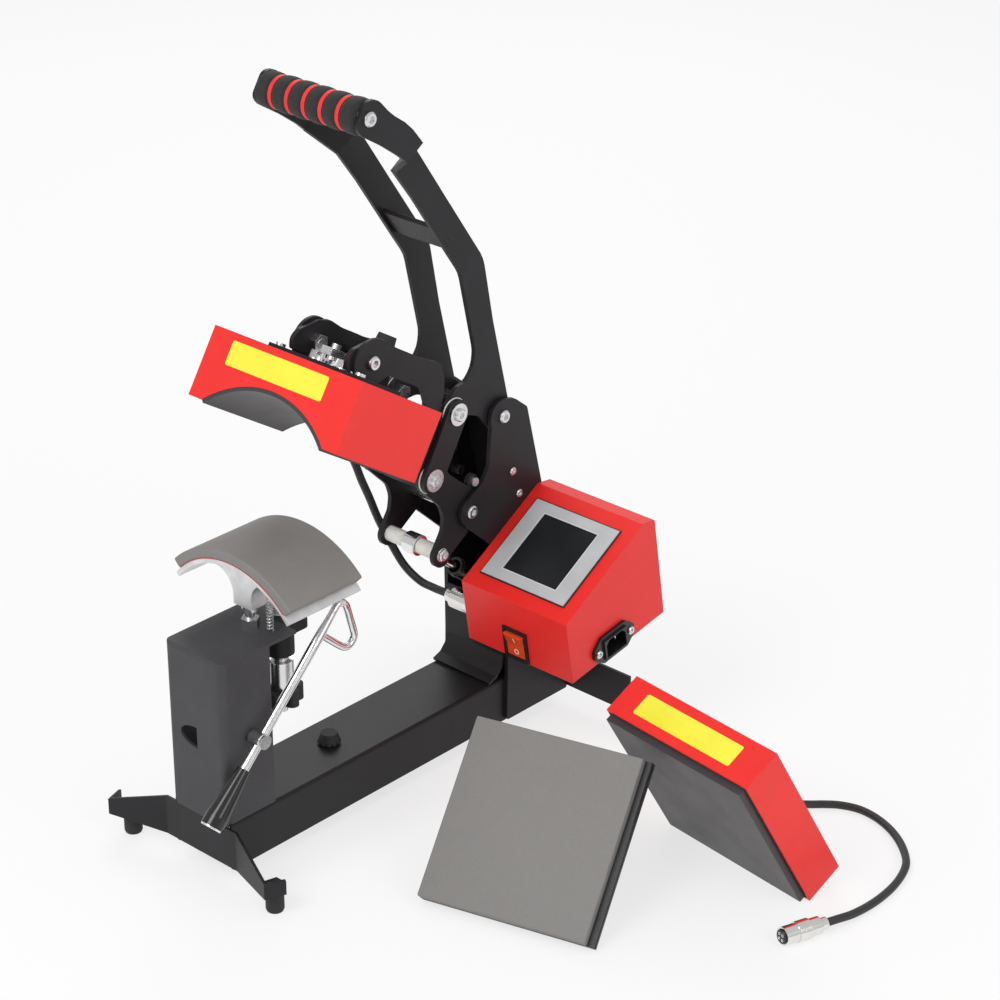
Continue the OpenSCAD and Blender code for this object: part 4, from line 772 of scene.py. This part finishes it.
FINISH_OF_NODE: dict[Finish, tuple[str, ...]] = {
    BLACK_SHEET: ("foot_plates", "base_beam", "upright_plates", "upright_webs", "platen_arm",
                  "handle_arms", "handle_crossbar", "link_plates", "swing_plates",
                  "swing_cross_plates", "head_bracket", "spare_bracket"),
    PEDESTAL_COAT: ("front_pedestal",),
    RED_COAT: ("control_box_housing", "control_box_cover", "head_housing", "spare_housing"),
    ZINC: ("pivot_shafts", "panel_screws", "grip_screws", "link_top_screws",
           "link_bottom_screws", "cross_shaft", "head_fasteners"),
    CHROME: ("heater_socket", "platen_guide", "gas_rod", "lever_rod"),
    SCREW_THREAD: ("pressure_screw",),
    STUD_THREAD: ("tension_stud",),
    PLUG_METAL: ("head_connector",),
    LEAD_PLUG_METAL: ("spare_connector",),
    SADDLE: ("platen_saddle",),
    SPRING_WIRE: ("platen_spring",),
    TUBE_STEEL: ("grip_tube",),
    KNOB_PLASTIC: ("beam_knob", "tension_knob", "pressure_knob"),
    GLOSS_BLACK: ("lever_grip",),
    BLACK_PLASTIC: ("switch_frame", "power_inlet"),
    ROCKER_RED: ("switch_rocker",),
    FOOT_RUBBER: ("rubber_feet",),
    NYLON: ("link_top_washers", "nylon_spacers"),
    RING_RED: ("grip_rings",),
    GAS_BLACK: ("gas_cylinder",),
    BASE_PLATE: ("flat_pad_base",),
    BEZEL_FILM: ("display_bezel",),
    SCREEN: ("display_screen",),
    BOARD: ("circuit_board",),
    FELT: ("head_insulation",),
    FOAM: ("grip_foam",),
    SILICONE: ("platen_pad", "flat_pad"),
    HEATER_COAT: ("head_heating_plate", "spare_heating_plate"),
    JACKET: ("head_cable", "spare_lead"),
}


# Studio

@dataclass
class Studio:
    """Camera, floor, lamps and world; places in metres."""

    camera_at: Point = (1.4827, -1.2614, 1.2751)
    camera_turn: Point = (63.9, 0.0, 42.6)
    lens: float = 103.32
    sensor: float = 36.0
    clip: Pair = (0.05, 60.0)
    floor_reach: float = 14.0
    floor_z: float = -0.0002
    floor_glow: float = 0.72
    sky: float = 0.62
    lamps_aim: Point = (0.12, 0.2, 0.25)
    lamps: dict[str, tuple[Point, float, float]] = field(default_factory=lambda: {
        "key": ((0.1, -1.9, 2.1), 1.5, 30.0),
        "side": ((2.3, 0.1, 1.4), 1.3, 13.0),
        "back": ((-1.4, 1.6, 1.9), 1.4, 14.0)})

    def camera(self) -> None:
        """Set the camera at the photograph's viewing angle."""
        data = bpy.data.cameras.new("camera")
        data.sensor_width, data.lens = self.sensor, self.lens
        data.clip_start, data.clip_end = self.clip
        obj = linked("camera", data)
        obj.location = self.camera_at
        obj.rotation_euler = [radians(a) for a in self.camera_turn]
        bpy.context.scene.camera = obj

    def floor(self) -> None:
        """Lay a pale floor that keeps the object's shadow."""
        bm = bmesh.new()
        bmesh.ops.create_grid(bm, x_segments=1, y_segments=1, size=self.floor_reach)
        mesh = bpy.data.meshes.new("floor")
        bm.to_mesh(mesh)
        bm.free()
        obj = linked("floor", mesh)
        obj.location.z = self.floor_z
        s = Shade("studio_floor")
        s.look(Base_Color=(0.9, 0.9, 0.9), Roughness=0.9, Specular_IOR_Level=0.0)
        glow = s.add("ShaderNodeEmission", {"Color": (1.0, 1.0, 1.0), "Strength": 1.0})
        rays = s.add("ShaderNodeLightPath").outputs
        seen = s.math("MAXIMUM", rays["Is Camera Ray"], rays["Is Glossy Ray"])
        blend = s.add("ShaderNodeMixShader", {0: s.times(seen, self.floor_glow),
                                              1: s.surface.outputs[0], 2: glow.outputs[0]})
        s.feed(s.output.inputs["Surface"], blend.outputs[0])
        mesh.materials.append(s.material)

    def light(self) -> None:
        """Hang the soft lamps and set a pale world."""
        for name, (at, size, power) in self.lamps.items():
            data = bpy.data.lights.new(name, "AREA")
            data.shape, data.size, data.energy = "DISK", size, power
            obj = linked(name, data)
            obj.location = at
            aim = Vector(self.lamps_aim) - Vector(at)
            obj.rotation_euler = aim.to_track_quat("-Z", "Y").to_euler()
        world = bpy.data.worlds.new("studio")
        bpy.context.scene.world = world
        world.use_nodes = True
        s = Nodes(world.node_tree)
        rays = s.add("ShaderNodeLightPath").outputs
        seen = s.math("MAXIMUM", rays["Is Camera Ray"], rays["Is Transmission Ray"])
        sky = s.add("ShaderNodeBackground", {"Color": (1.0, 1.0, 1.0),
                                             "Strength": s.remap(seen, 0.0, 1.0, self.sky)})
        s.add("ShaderNodeOutputWorld", {"Surface": sky.outputs[0]})
        bpy.context.scene.view_settings.view_transform = "Standard"

    def build(self) -> None:
        """Build the whole studio but the camera."""
        self.floor()
        self.light()


# Cords

@dataclass
class Cord:
    """A jacketed cord with a tapered strain relief near its start, in millimetres."""

    diameter: float
    route: tuple[Point, ...]
    relief_span: Pair
    relief_wall: float
    relief_taper: float

    def relief(self, name: str, line: Sequence[Vector], body: str) -> bpy.types.Object:
        """Build the strain relief.

        Args:
            name: The piece's name.
            line: The cord's line in metres.
            body: The body that the relief moves with.

        Returns:
            The relief's object.
        """
        low, high = (at * MM for at in self.relief_span)
        reach = [p for i, p in enumerate(line) if low < length_of(line[:i + 1]) < high]
        start = self.diameter / 2 + self.relief_wall
        bm = bmesh.new()
        tube(bm, reach, [start - self.relief_taper * i / (len(reach) - 1)
                         for i in range(len(reach))])
        return piece(name, bm, KNOB_PLASTIC, body)


@dataclass
class HeadCable(Cord):
    """The cable from the head's back wall to its connector on the control box."""

    diameter: float = 7.0
    route: tuple[Point, ...] = (
        (-48, 175.356, 330.344), (-48, 181.513, 326.421), (-48, 196, 312), (-48, 212, 291),
        (-48, 225, 269), (-48, 234, 247), (-48, 243, 227), (-47, 252, 204), (-43, 263, 178),
        (-35, 270, 158), (-23, 276, 145.5), (-11, 280, 141.5), (0, 281, 141), (6, 281, 141))
    relief_span: Pair = (3.5, 24.0)
    relief_wall: float = 2.4
    relief_taper: float = 2.1

    def build(self) -> None:
        """Build the cable, which runs from the head to the frame, and its strain relief."""
        line = flow(self.route)
        bm = bmesh.new()
        tube(bm, line, self.diameter / 2)
        cable = piece("head_cable_cord", bm, JACKET, "")
        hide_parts("head_cable")
        sleeve = self.relief("head_cable_relief", line, "swing")
        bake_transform(cable)


@dataclass
class SpareLead(Cord):
    """The spare heater's lead, which lies on the floor and ends in its connector."""

    diameter: float = 6.6
    route: tuple[Point, ...] = (
        (272.723, 324.278, 39.501), (273.586, 331.414, 43.651), (276, 343, 44), (280, 355, 36),
        (284, 367, 25), (289, 380, 13), (295, 391, 6), (302, 401.5, 3.3), (311, 410, 3.3),
        (322, 418, 3.3), (337, 423, 3.3), (354, 422, 3.3), (372, 416, 3.3), (389, 406, 3.3),
        (404, 393, 3.3), (414, 380, 3.3), (421, 362, 3.3), (425, 342, 3.3), (426, 319, 3.3),
        (424.5, 296, 4.5), (421.5, 279.5, 6.5), (418, 268, 7))
    relief_span: Pair = (2.5, 30.0)
    relief_wall: float = 1.4
    relief_taper: float = 1.1
    plug_end: Point = (406, 229, 8.6)
    insert_r: float = 5.9
    insert_edge: float = 0.5
    insert_heights: Point = (-7.6, 1.2, 1.7)
    contact_circle: float = 2.9
    contact_z: float = 1.4
    contact_outline: tuple[Pair, ...] = (
        (0.5, 0.1), (0.8, 0.45), (1.2, 0.45), (1.3, 0.1))

    def plug_frame(self) -> Matrix:
        """Return the frame of the connector, with Z out of its mouth."""
        start, way = Vector(self.route[-1]), Vector(self.plug_end) - Vector(self.route[-1])
        return local_frame(tuple(start), ("Z", degrees(atan2(way.y, way.x))),
                           ("Y", 90 - degrees(atan2(way.z, way.xy.length))))

    def build(self) -> None:
        """Build the lead, its strain relief and the connector's insert and contacts."""
        line = flow(self.route)
        bm = bmesh.new()
        tube(bm, line, self.diameter / 2)
        lead = piece("spare_lead_cord", bm, JACKET, "frame")
        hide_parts("spare_lead")
        sleeve = self.relief("spare_lead_relief", line, "frame")
        mouth = (Vector(self.plug_end) - Vector(self.route[-1])).length
        place = self.plug_frame()
        bm = bmesh.new()
        low, rim, top = (mouth + z for z in self.insert_heights)
        turned(bm, [(ON_AXIS, low), (self.insert_r, low), (self.insert_r, rim),
                    (self.insert_r - self.insert_edge, top), (ON_AXIS, top)], place, closed=False)
        insert = piece("spare_plug_insert", bm, BLACK_PLASTIC, "frame")
        bm = bmesh.new()
        for quarter in range(4):
            angle = pi / 4 + quarter * pi / 2
            at = (self.contact_circle * cos(angle), self.contact_circle * sin(angle),
                  mouth + self.contact_z)
            turned(bm, self.contact_outline, place @ Matrix.Translation(at), 16)
        contacts = piece("spare_plug_contacts", bm, CHROME, "frame")


# Handle

@dataclass
class Grip:
    """Foam sleeves with recessed rings on the handle's tube."""

    middle: Point = (0.0, 148.7, 603.0)
    length: float = 104.0
    foam_r: float = 14.3
    bore_r: float = 9.1
    ring_w: float = 3.8
    corner: float = 3.2
    corner_steps: int = 6
    crown: float = 0.25
    end_gap: float = 0.2
    sleeves: int = 6

    def rounding(self, height: float, start: float) -> list[Pair]:
        """Return a corner's quarter circle about a height, from an angle in radians."""
        angles = [start + i * pi / (2 * self.corner_steps) for i in range(self.corner_steps + 1)]
        return [(self.foam_r - self.corner + self.corner * cos(a), height + self.corner * sin(a))
                for a in angles]

    def sleeve(self, bm: BMesh, low: float, width: float) -> None:
        """Add one crowned sleeve.

        Args:
            bm: The mesh that takes it.
            low: Its left end, measured from the grip's middle.
            width: Its width.
        """
        outline = [(self.bore_r, 0.0), *self.rounding(self.corner, -pi / 2),
                   (self.foam_r + self.crown, width / 2),
                   *self.rounding(width - self.corner, 0.0), (self.bore_r, width)]
        at = (self.middle[0] + low, self.middle[1], self.middle[2])
        turned(bm, outline, local_frame(at, ("Y", 90.0)), 64)

    def build(self) -> None:
        """Build the six sleeves as one soft piece."""
        width = (self.length - 2 * self.end_gap - (self.sleeves - 1) * self.ring_w) / self.sleeves
        bm = bmesh.new()
        for i in range(self.sleeves):
            self.sleeve(bm, -self.length / 2 + self.end_gap + i * (width + self.ring_w), width)
        foam = piece("grip_foam_sleeves", bm, FOAM, "handle")
        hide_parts("grip_foam")


# Press pad, spring and tension lever

@dataclass
class CurvedPad:
    """Silicone pad on the curved saddle."""

    outer_r: float = 94.0
    thick: float = 9.0
    half: float = 66.0
    front: float = 43.0
    depth: float = 79.0
    axis_z: float = 172.8
    edge: float = 1.5
    bond: float = 0.3
    bond_rise: float = 0.02
    bond_share: float = 0.975
    steps: int = 72

    def band(self, bm: BMesh, low: float, high: float, turn: float) -> None:
        """Add a band of an arc about the saddle's axis.

        Args:
            bm: The mesh that takes it.
            low: Its inner radius.
            high: Its outer radius.
            turn: Half of its angle in radians.
        """
        back = self.front + self.depth
        corners = ((low, self.front), (high, self.front), (high, back), (low, back))
        verts = [bm.verts.new((r * sin(-turn), y, self.axis_z + r * cos(turn)))
                 for r, y in corners]
        face = bm.faces.new(verts)
        bmesh.ops.spin(bm, geom=[face, *face.edges, *verts], cent=(0, 0, self.axis_z),
                       axis=(0, 1, 0), angle=2 * turn, steps=self.steps, use_merge=False,
                       use_duplicate=False)
        bmesh.ops.holes_fill(bm, edges=[e for e in bm.edges if e.is_boundary])

    def build(self) -> None:
        """Build the pad and the thin red bond line under it."""
        turn = pi / 2 - atan2((self.outer_r ** 2 - self.half ** 2) ** 0.5, self.half)
        bm = bmesh.new()
        self.band(bm, self.outer_r - self.thick, self.outer_r, turn)
        bmesh.ops.recalc_face_normals(bm, faces=bm.faces)
        soften(bm, self.edge, 4)
        bmesh.ops.scale(bm, verts=bm.verts, vec=(MM, MM, MM))
        pad = piece("curved_pad", bm, SILICONE, "frame")
        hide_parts("platen_pad")
        bm = bmesh.new()
        low = self.outer_r - self.thick + self.bond_rise
        self.band(bm, low, low + self.bond, turn * self.bond_share)
        bmesh.ops.scale(bm, verts=bm.verts, vec=(MM, MM, MM))
        piece("bond_line", bm, RING_RED, "frame")


@dataclass
class FlatPad:
    """Flat silicone pad on its leaning base plate."""

    size: float = 150.0
    edge_strip: float = 5.0
    base_t: float = 8.0
    pad_t: float = 8.0
    edge: float = 1.1
    corner: float = 1.6

    def build(self) -> None:
        """Build the pad with softened edges."""
        bm = bmesh.new()
        slab(bm, (self.size - self.edge_strip, self.size, self.pad_t),
             FLAT @ Matrix.Translation((0, 0, self.base_t)), self.edge, self.corner)
        pad = piece("flat_pad_sheet", bm, SILICONE, "frame")
        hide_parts("flat_pad")


@dataclass
class Spring:
    """Light spring beside the saddle's post."""

    at: Pair = (18.5, 66.0)
    radius: float = 2.4
    wire: float = 0.55
    turns: int = 14
    steps: int = 20

    def build(self) -> None:
        """Build the spring as one wire."""
        low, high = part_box("platen_spring")
        z0, z1 = low.z / MM + self.wire, high.z / MM - self.wire
        count = self.turns * self.steps
        line = [Vector((self.at[0] + self.radius * cos(i * tau / self.steps),
                        self.at[1] + self.radius * sin(i * tau / self.steps),
                        z0 + (z1 - z0) * i / count)) * MM for i in range(count + 1)]
        bm = bmesh.new()
        tube(bm, line, self.wire, 8)
        wire = piece("platen_spring_wire", bm, SPRING_WIRE, "frame")
        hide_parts("platen_spring")


@dataclass
class TensionLever:
    """Bent round bar of the tension lever, with its boss and stop disc."""

    pivot: Point = (44.0, 28.0, 125.0)
    slope: float = 44.6
    bar_r: float = 4.0
    loop_r: float = 3.2
    bore_r: float = 4.05
    boss_r: float = 6.5
    boss_x: float = -8.5
    boss_t: float = 12.5
    boss_edge: float = 0.6
    disc_r: float = 9.0
    disc_lap: float = 0.5
    disc_t: float = 2.0
    disc_edge: float = 0.4
    straight: tuple[float, ...] = (-77.0, -40.0, 0.0, 40.0, 80.0, 90.0)
    loop: tuple[Pair, ...] = (
        (112, 0.2), (119, 0.3), (123.5, -1.2), (125.5, -5.5), (124.5, -11), (118.5, -22),
        (112.5, -33), (109, -37), (104.5, -38), (100, -36.4), (97.4, -32), (96.3, -24),
        (95.4, -10), (95.1, -3.6))

    def build(self) -> None:
        """Build the bar, its loop, its boss and the disc above the grip."""
        place = local_frame(self.pivot, ("X", self.slope))
        bend = flow([(0.0, y, z) for y, z in self.loop], 5)
        line = [place @ Vector((0.0, y, 0.0)) for y in self.straight]
        line += [place @ (p / MM) for p in bend]
        bm = bmesh.new()
        tube(bm, line, [self.bar_r] * len(self.straight) + [self.loop_r] * len(bend), 24)
        boss = place @ Matrix.Rotation(radians(90.0), 4, "Y")
        turned(bm, ring(self.bore_r, self.boss_r, self.boss_t, self.boss_edge),
               boss @ Matrix.Translation((0, 0, self.boss_x)))
        disc = place @ Matrix.Translation((0, self.straight[0] - 1, 0))
        turned(bm, ring(self.bar_r - self.disc_lap, self.disc_r, self.disc_t, self.disc_edge, 0.1),
               disc @ Matrix.Rotation(radians(-90.0), 4, "X"))
        bar = piece("lever_bar", bm, CHROME, "tension_lever")
        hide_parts("lever_rod")


# Labels, marks and small trim

@dataclass
class Labels:
    """Bare yellow film labels on the head and the spare heater."""

    width: float = 106.0
    height: float = 20.0
    thick: float = 0.16
    corner: float = 1.8
    edge: float = 0.05
    head_left: float = -57.5
    head_low: float = -26.0
    spare_left: float = 22.0
    spare_front: float = 8.5
    spare_size: float = 155.0
    lift: float = 0.02

    def label(self, name: str, place: Matrix, body: str) -> None:
        """Build one label in a local frame, on a body."""
        bm = bmesh.new()
        slab(bm, (self.width, self.height, self.thick), place, self.edge, self.corner)
        piece(name, bm, LABEL_FILM, body)

    def build(self) -> None:
        """Build both labels."""
        front = HEAD @ Matrix.Translation((self.head_left, -self.lift, self.head_low))
        self.label("head_label_blank", front @ Matrix.Rotation(radians(90.0), 4, "X"), "swing")
        at = (self.spare_left, self.spare_front, self.spare_size + self.lift)
        self.label("spare_label_blank", SPARE @ Matrix.Translation(at), "frame")


@dataclass
class BoxTrim:
    """Bezel outline, bezel lip, switch marks and inlet contacts of the control box."""

    display_x: float = 93.5
    display_along: float = 54.5
    bezel: Pair = (90.0, 81.0)
    outline_w: float = 1.1
    outline_span: Pair = (0.02, 1.1)
    lip: Pair = (57.9, 59.9)
    lip_w: float = 0.8
    lip_span: Pair = (1.55, 1.72)
    switch_x: float = 92.5
    switch_along: float = 42.75
    rocker_lift: float = 2.5
    rocker_tilt: float = 9.0
    rocker_slant: float = 7.75
    mark_at: Pair = (6.2, -4.43)
    mark_bar: Point = (1.0, 5.2, 0.2)
    mark_ring: Pair = (1.7, 2.5)
    mark_span: Pair = (-0.15, 0.05)
    mark_edge: float = 0.05
    inlet_at: Point = (152.0, 321.7, 134.0)
    inlet_way: Pair = (40.0, 7.0)
    contact: Point = (2.1, 4.1, 13.2)
    contact_edge: float = 0.35
    contact_z: float = -15.4
    contacts_at: tuple[Pair, ...] = ((-7.0, -2.0), (0.0, 2.5), (7.0, -2.0))

    def face(self, x: float, along: float, end: Pair) -> Matrix:
        """Return a frame on one of the box's sheet faces.

        Args:
            x: The frame's place across the box.
            along: Its distance from the box's folded edge.
            end: The far end of that face, as y and z.

        Returns:
            The frame's matrix, with Y along the face.
        """
        way = Vector((end[0] - BOX_EDGE[0], end[1] - BOX_EDGE[1])).normalized()
        at = (x, BOX_EDGE[0] + way.x * along, BOX_EDGE[1] + way.y * along)
        return local_frame(at, ("X", degrees(atan2(way.y, way.x))))

    def rim(self, name: str, inner: Pair, width: float, span: Pair,
            finish: Finish) -> None:
        """Build a flat frame round the display.

        Args:
            name: The piece's name.
            inner: Width and height of its opening.
            width: Width of its sides.
            span: Its lowest and highest point over the box's face.
            finish: Its finish.
        """
        bm = bmesh.new()
        bmesh.ops.create_grid(bm, x_segments=1, y_segments=1, size=0.5)
        bmesh.ops.scale(bm, verts=bm.verts, vec=(inner[0] + 2 * width, inner[1] + 2 * width, 1))
        middle = list(bm.faces)
        bmesh.ops.inset_individual(bm, faces=middle, thickness=width)
        bmesh.ops.delete(bm, geom=middle, context="FACES")
        bmesh.ops.translate(bm, verts=bm.verts, vec=(0, 0, span[0]))
        grown = bmesh.ops.extrude_face_region(bm, geom=list(bm.faces), use_keep_orig=True)
        bmesh.ops.translate(bm, vec=(0, 0, span[1] - span[0]),
                            verts=[v for v in grown["geom"] if isinstance(v, bmesh.types.BMVert)])
        place = self.face(self.display_x, self.display_along, BOX_TOP_BACK)
        bmesh.ops.transform(bm, matrix=place, verts=bm.verts)
        piece(name, bm, finish, "frame")

    def marks(self) -> None:
        """Build the on and off marks on the rocker's two faces."""
        rocker = (self.face(self.switch_x, self.switch_along, BOX_FOOT)
                  @ Matrix.Translation((0, 0, self.rocker_lift))
                  @ Matrix.Rotation(radians(self.rocker_tilt), 4, "X"))
        on_face, off_face = (
            rocker @ Matrix.Translation((0, side * self.mark_at[0], self.mark_at[1]))
            @ Matrix.Rotation(radians(-side * self.rocker_slant), 4, "X") for side in (-1, 1))
        (low, high), (inner, outer) = self.mark_span, self.mark_ring
        corner = (-self.mark_bar[0] / 2, -self.mark_bar[1] / 2, low)
        bm = bmesh.new()
        slab(bm, self.mark_bar, on_face @ Matrix.Translation(corner), self.mark_edge)
        turned(bm, [(inner, low), (outer, low), (outer, high), (inner, high)], off_face, 40)
        piece("switch_marks", bm, MARK_WHITE, "switch_rocker")

    def contacts(self) -> None:
        """Build the inlet's three contacts."""
        way = Vector(self.inlet_way).normalized()
        turn = Matrix(((0, 0, 1, 0), (way.x, -way.y, 0, 0), (way.y, way.x, 0, 0), (0, 0, 0, 1)))
        place = Matrix.Translation(Vector(self.inlet_at) * MM) @ turn @ Matrix.Scale(MM, 4)
        bm = bmesh.new()
        for x, y in self.contacts_at:
            corner = (x - self.contact[0] / 2, y - self.contact[1] / 2, self.contact_z)
            slab(bm, self.contact, place @ Matrix.Translation(corner), self.contact_edge)
        piece("inlet_contacts", bm, CHROME, "frame")

    def build(self) -> None:
        """Build the box's trim."""
        self.rim("bezel_outline", self.bezel, self.outline_w, self.outline_span, OUTLINE)
        self.rim("bezel_lip", self.lip, self.lip_w, self.lip_span, BEZEL_LIP)
        self.marks()
        self.contacts()


def dress_nodes() -> None:
    """Give each CAD node its finish."""
    for finish, nodes in FINISH_OF_NODE.items():
        for node in nodes:
            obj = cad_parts[node]
            for place in obj.material_slots:
                place.material = finish.material()
            LOG.info("node %s: %s", node, finish.name)
    missing = set(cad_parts) - {n for nodes in FINISH_OF_NODE.values() for n in nodes}
    if missing:
        raise ValueError(f"nodes with no finish: {sorted(missing)}")


def main() -> None:
    """Build the studio, the cords and each sub-assembly in order."""
    studio = Studio()
    studio.camera()
    parts: Iterable[object] = (HeadCable(), SpareLead(), Grip(), CurvedPad(), FlatPad(), Spring(),
                               TensionLever(), Labels(), BoxTrim(), studio)
    dress_nodes()
    for part in parts:
        part.build()
        LOG.info("built %s", type(part).__name__)


if __name__ == "__main__":
    logging.basicConfig(level=logging.INFO, format="%(message)s")
    main()
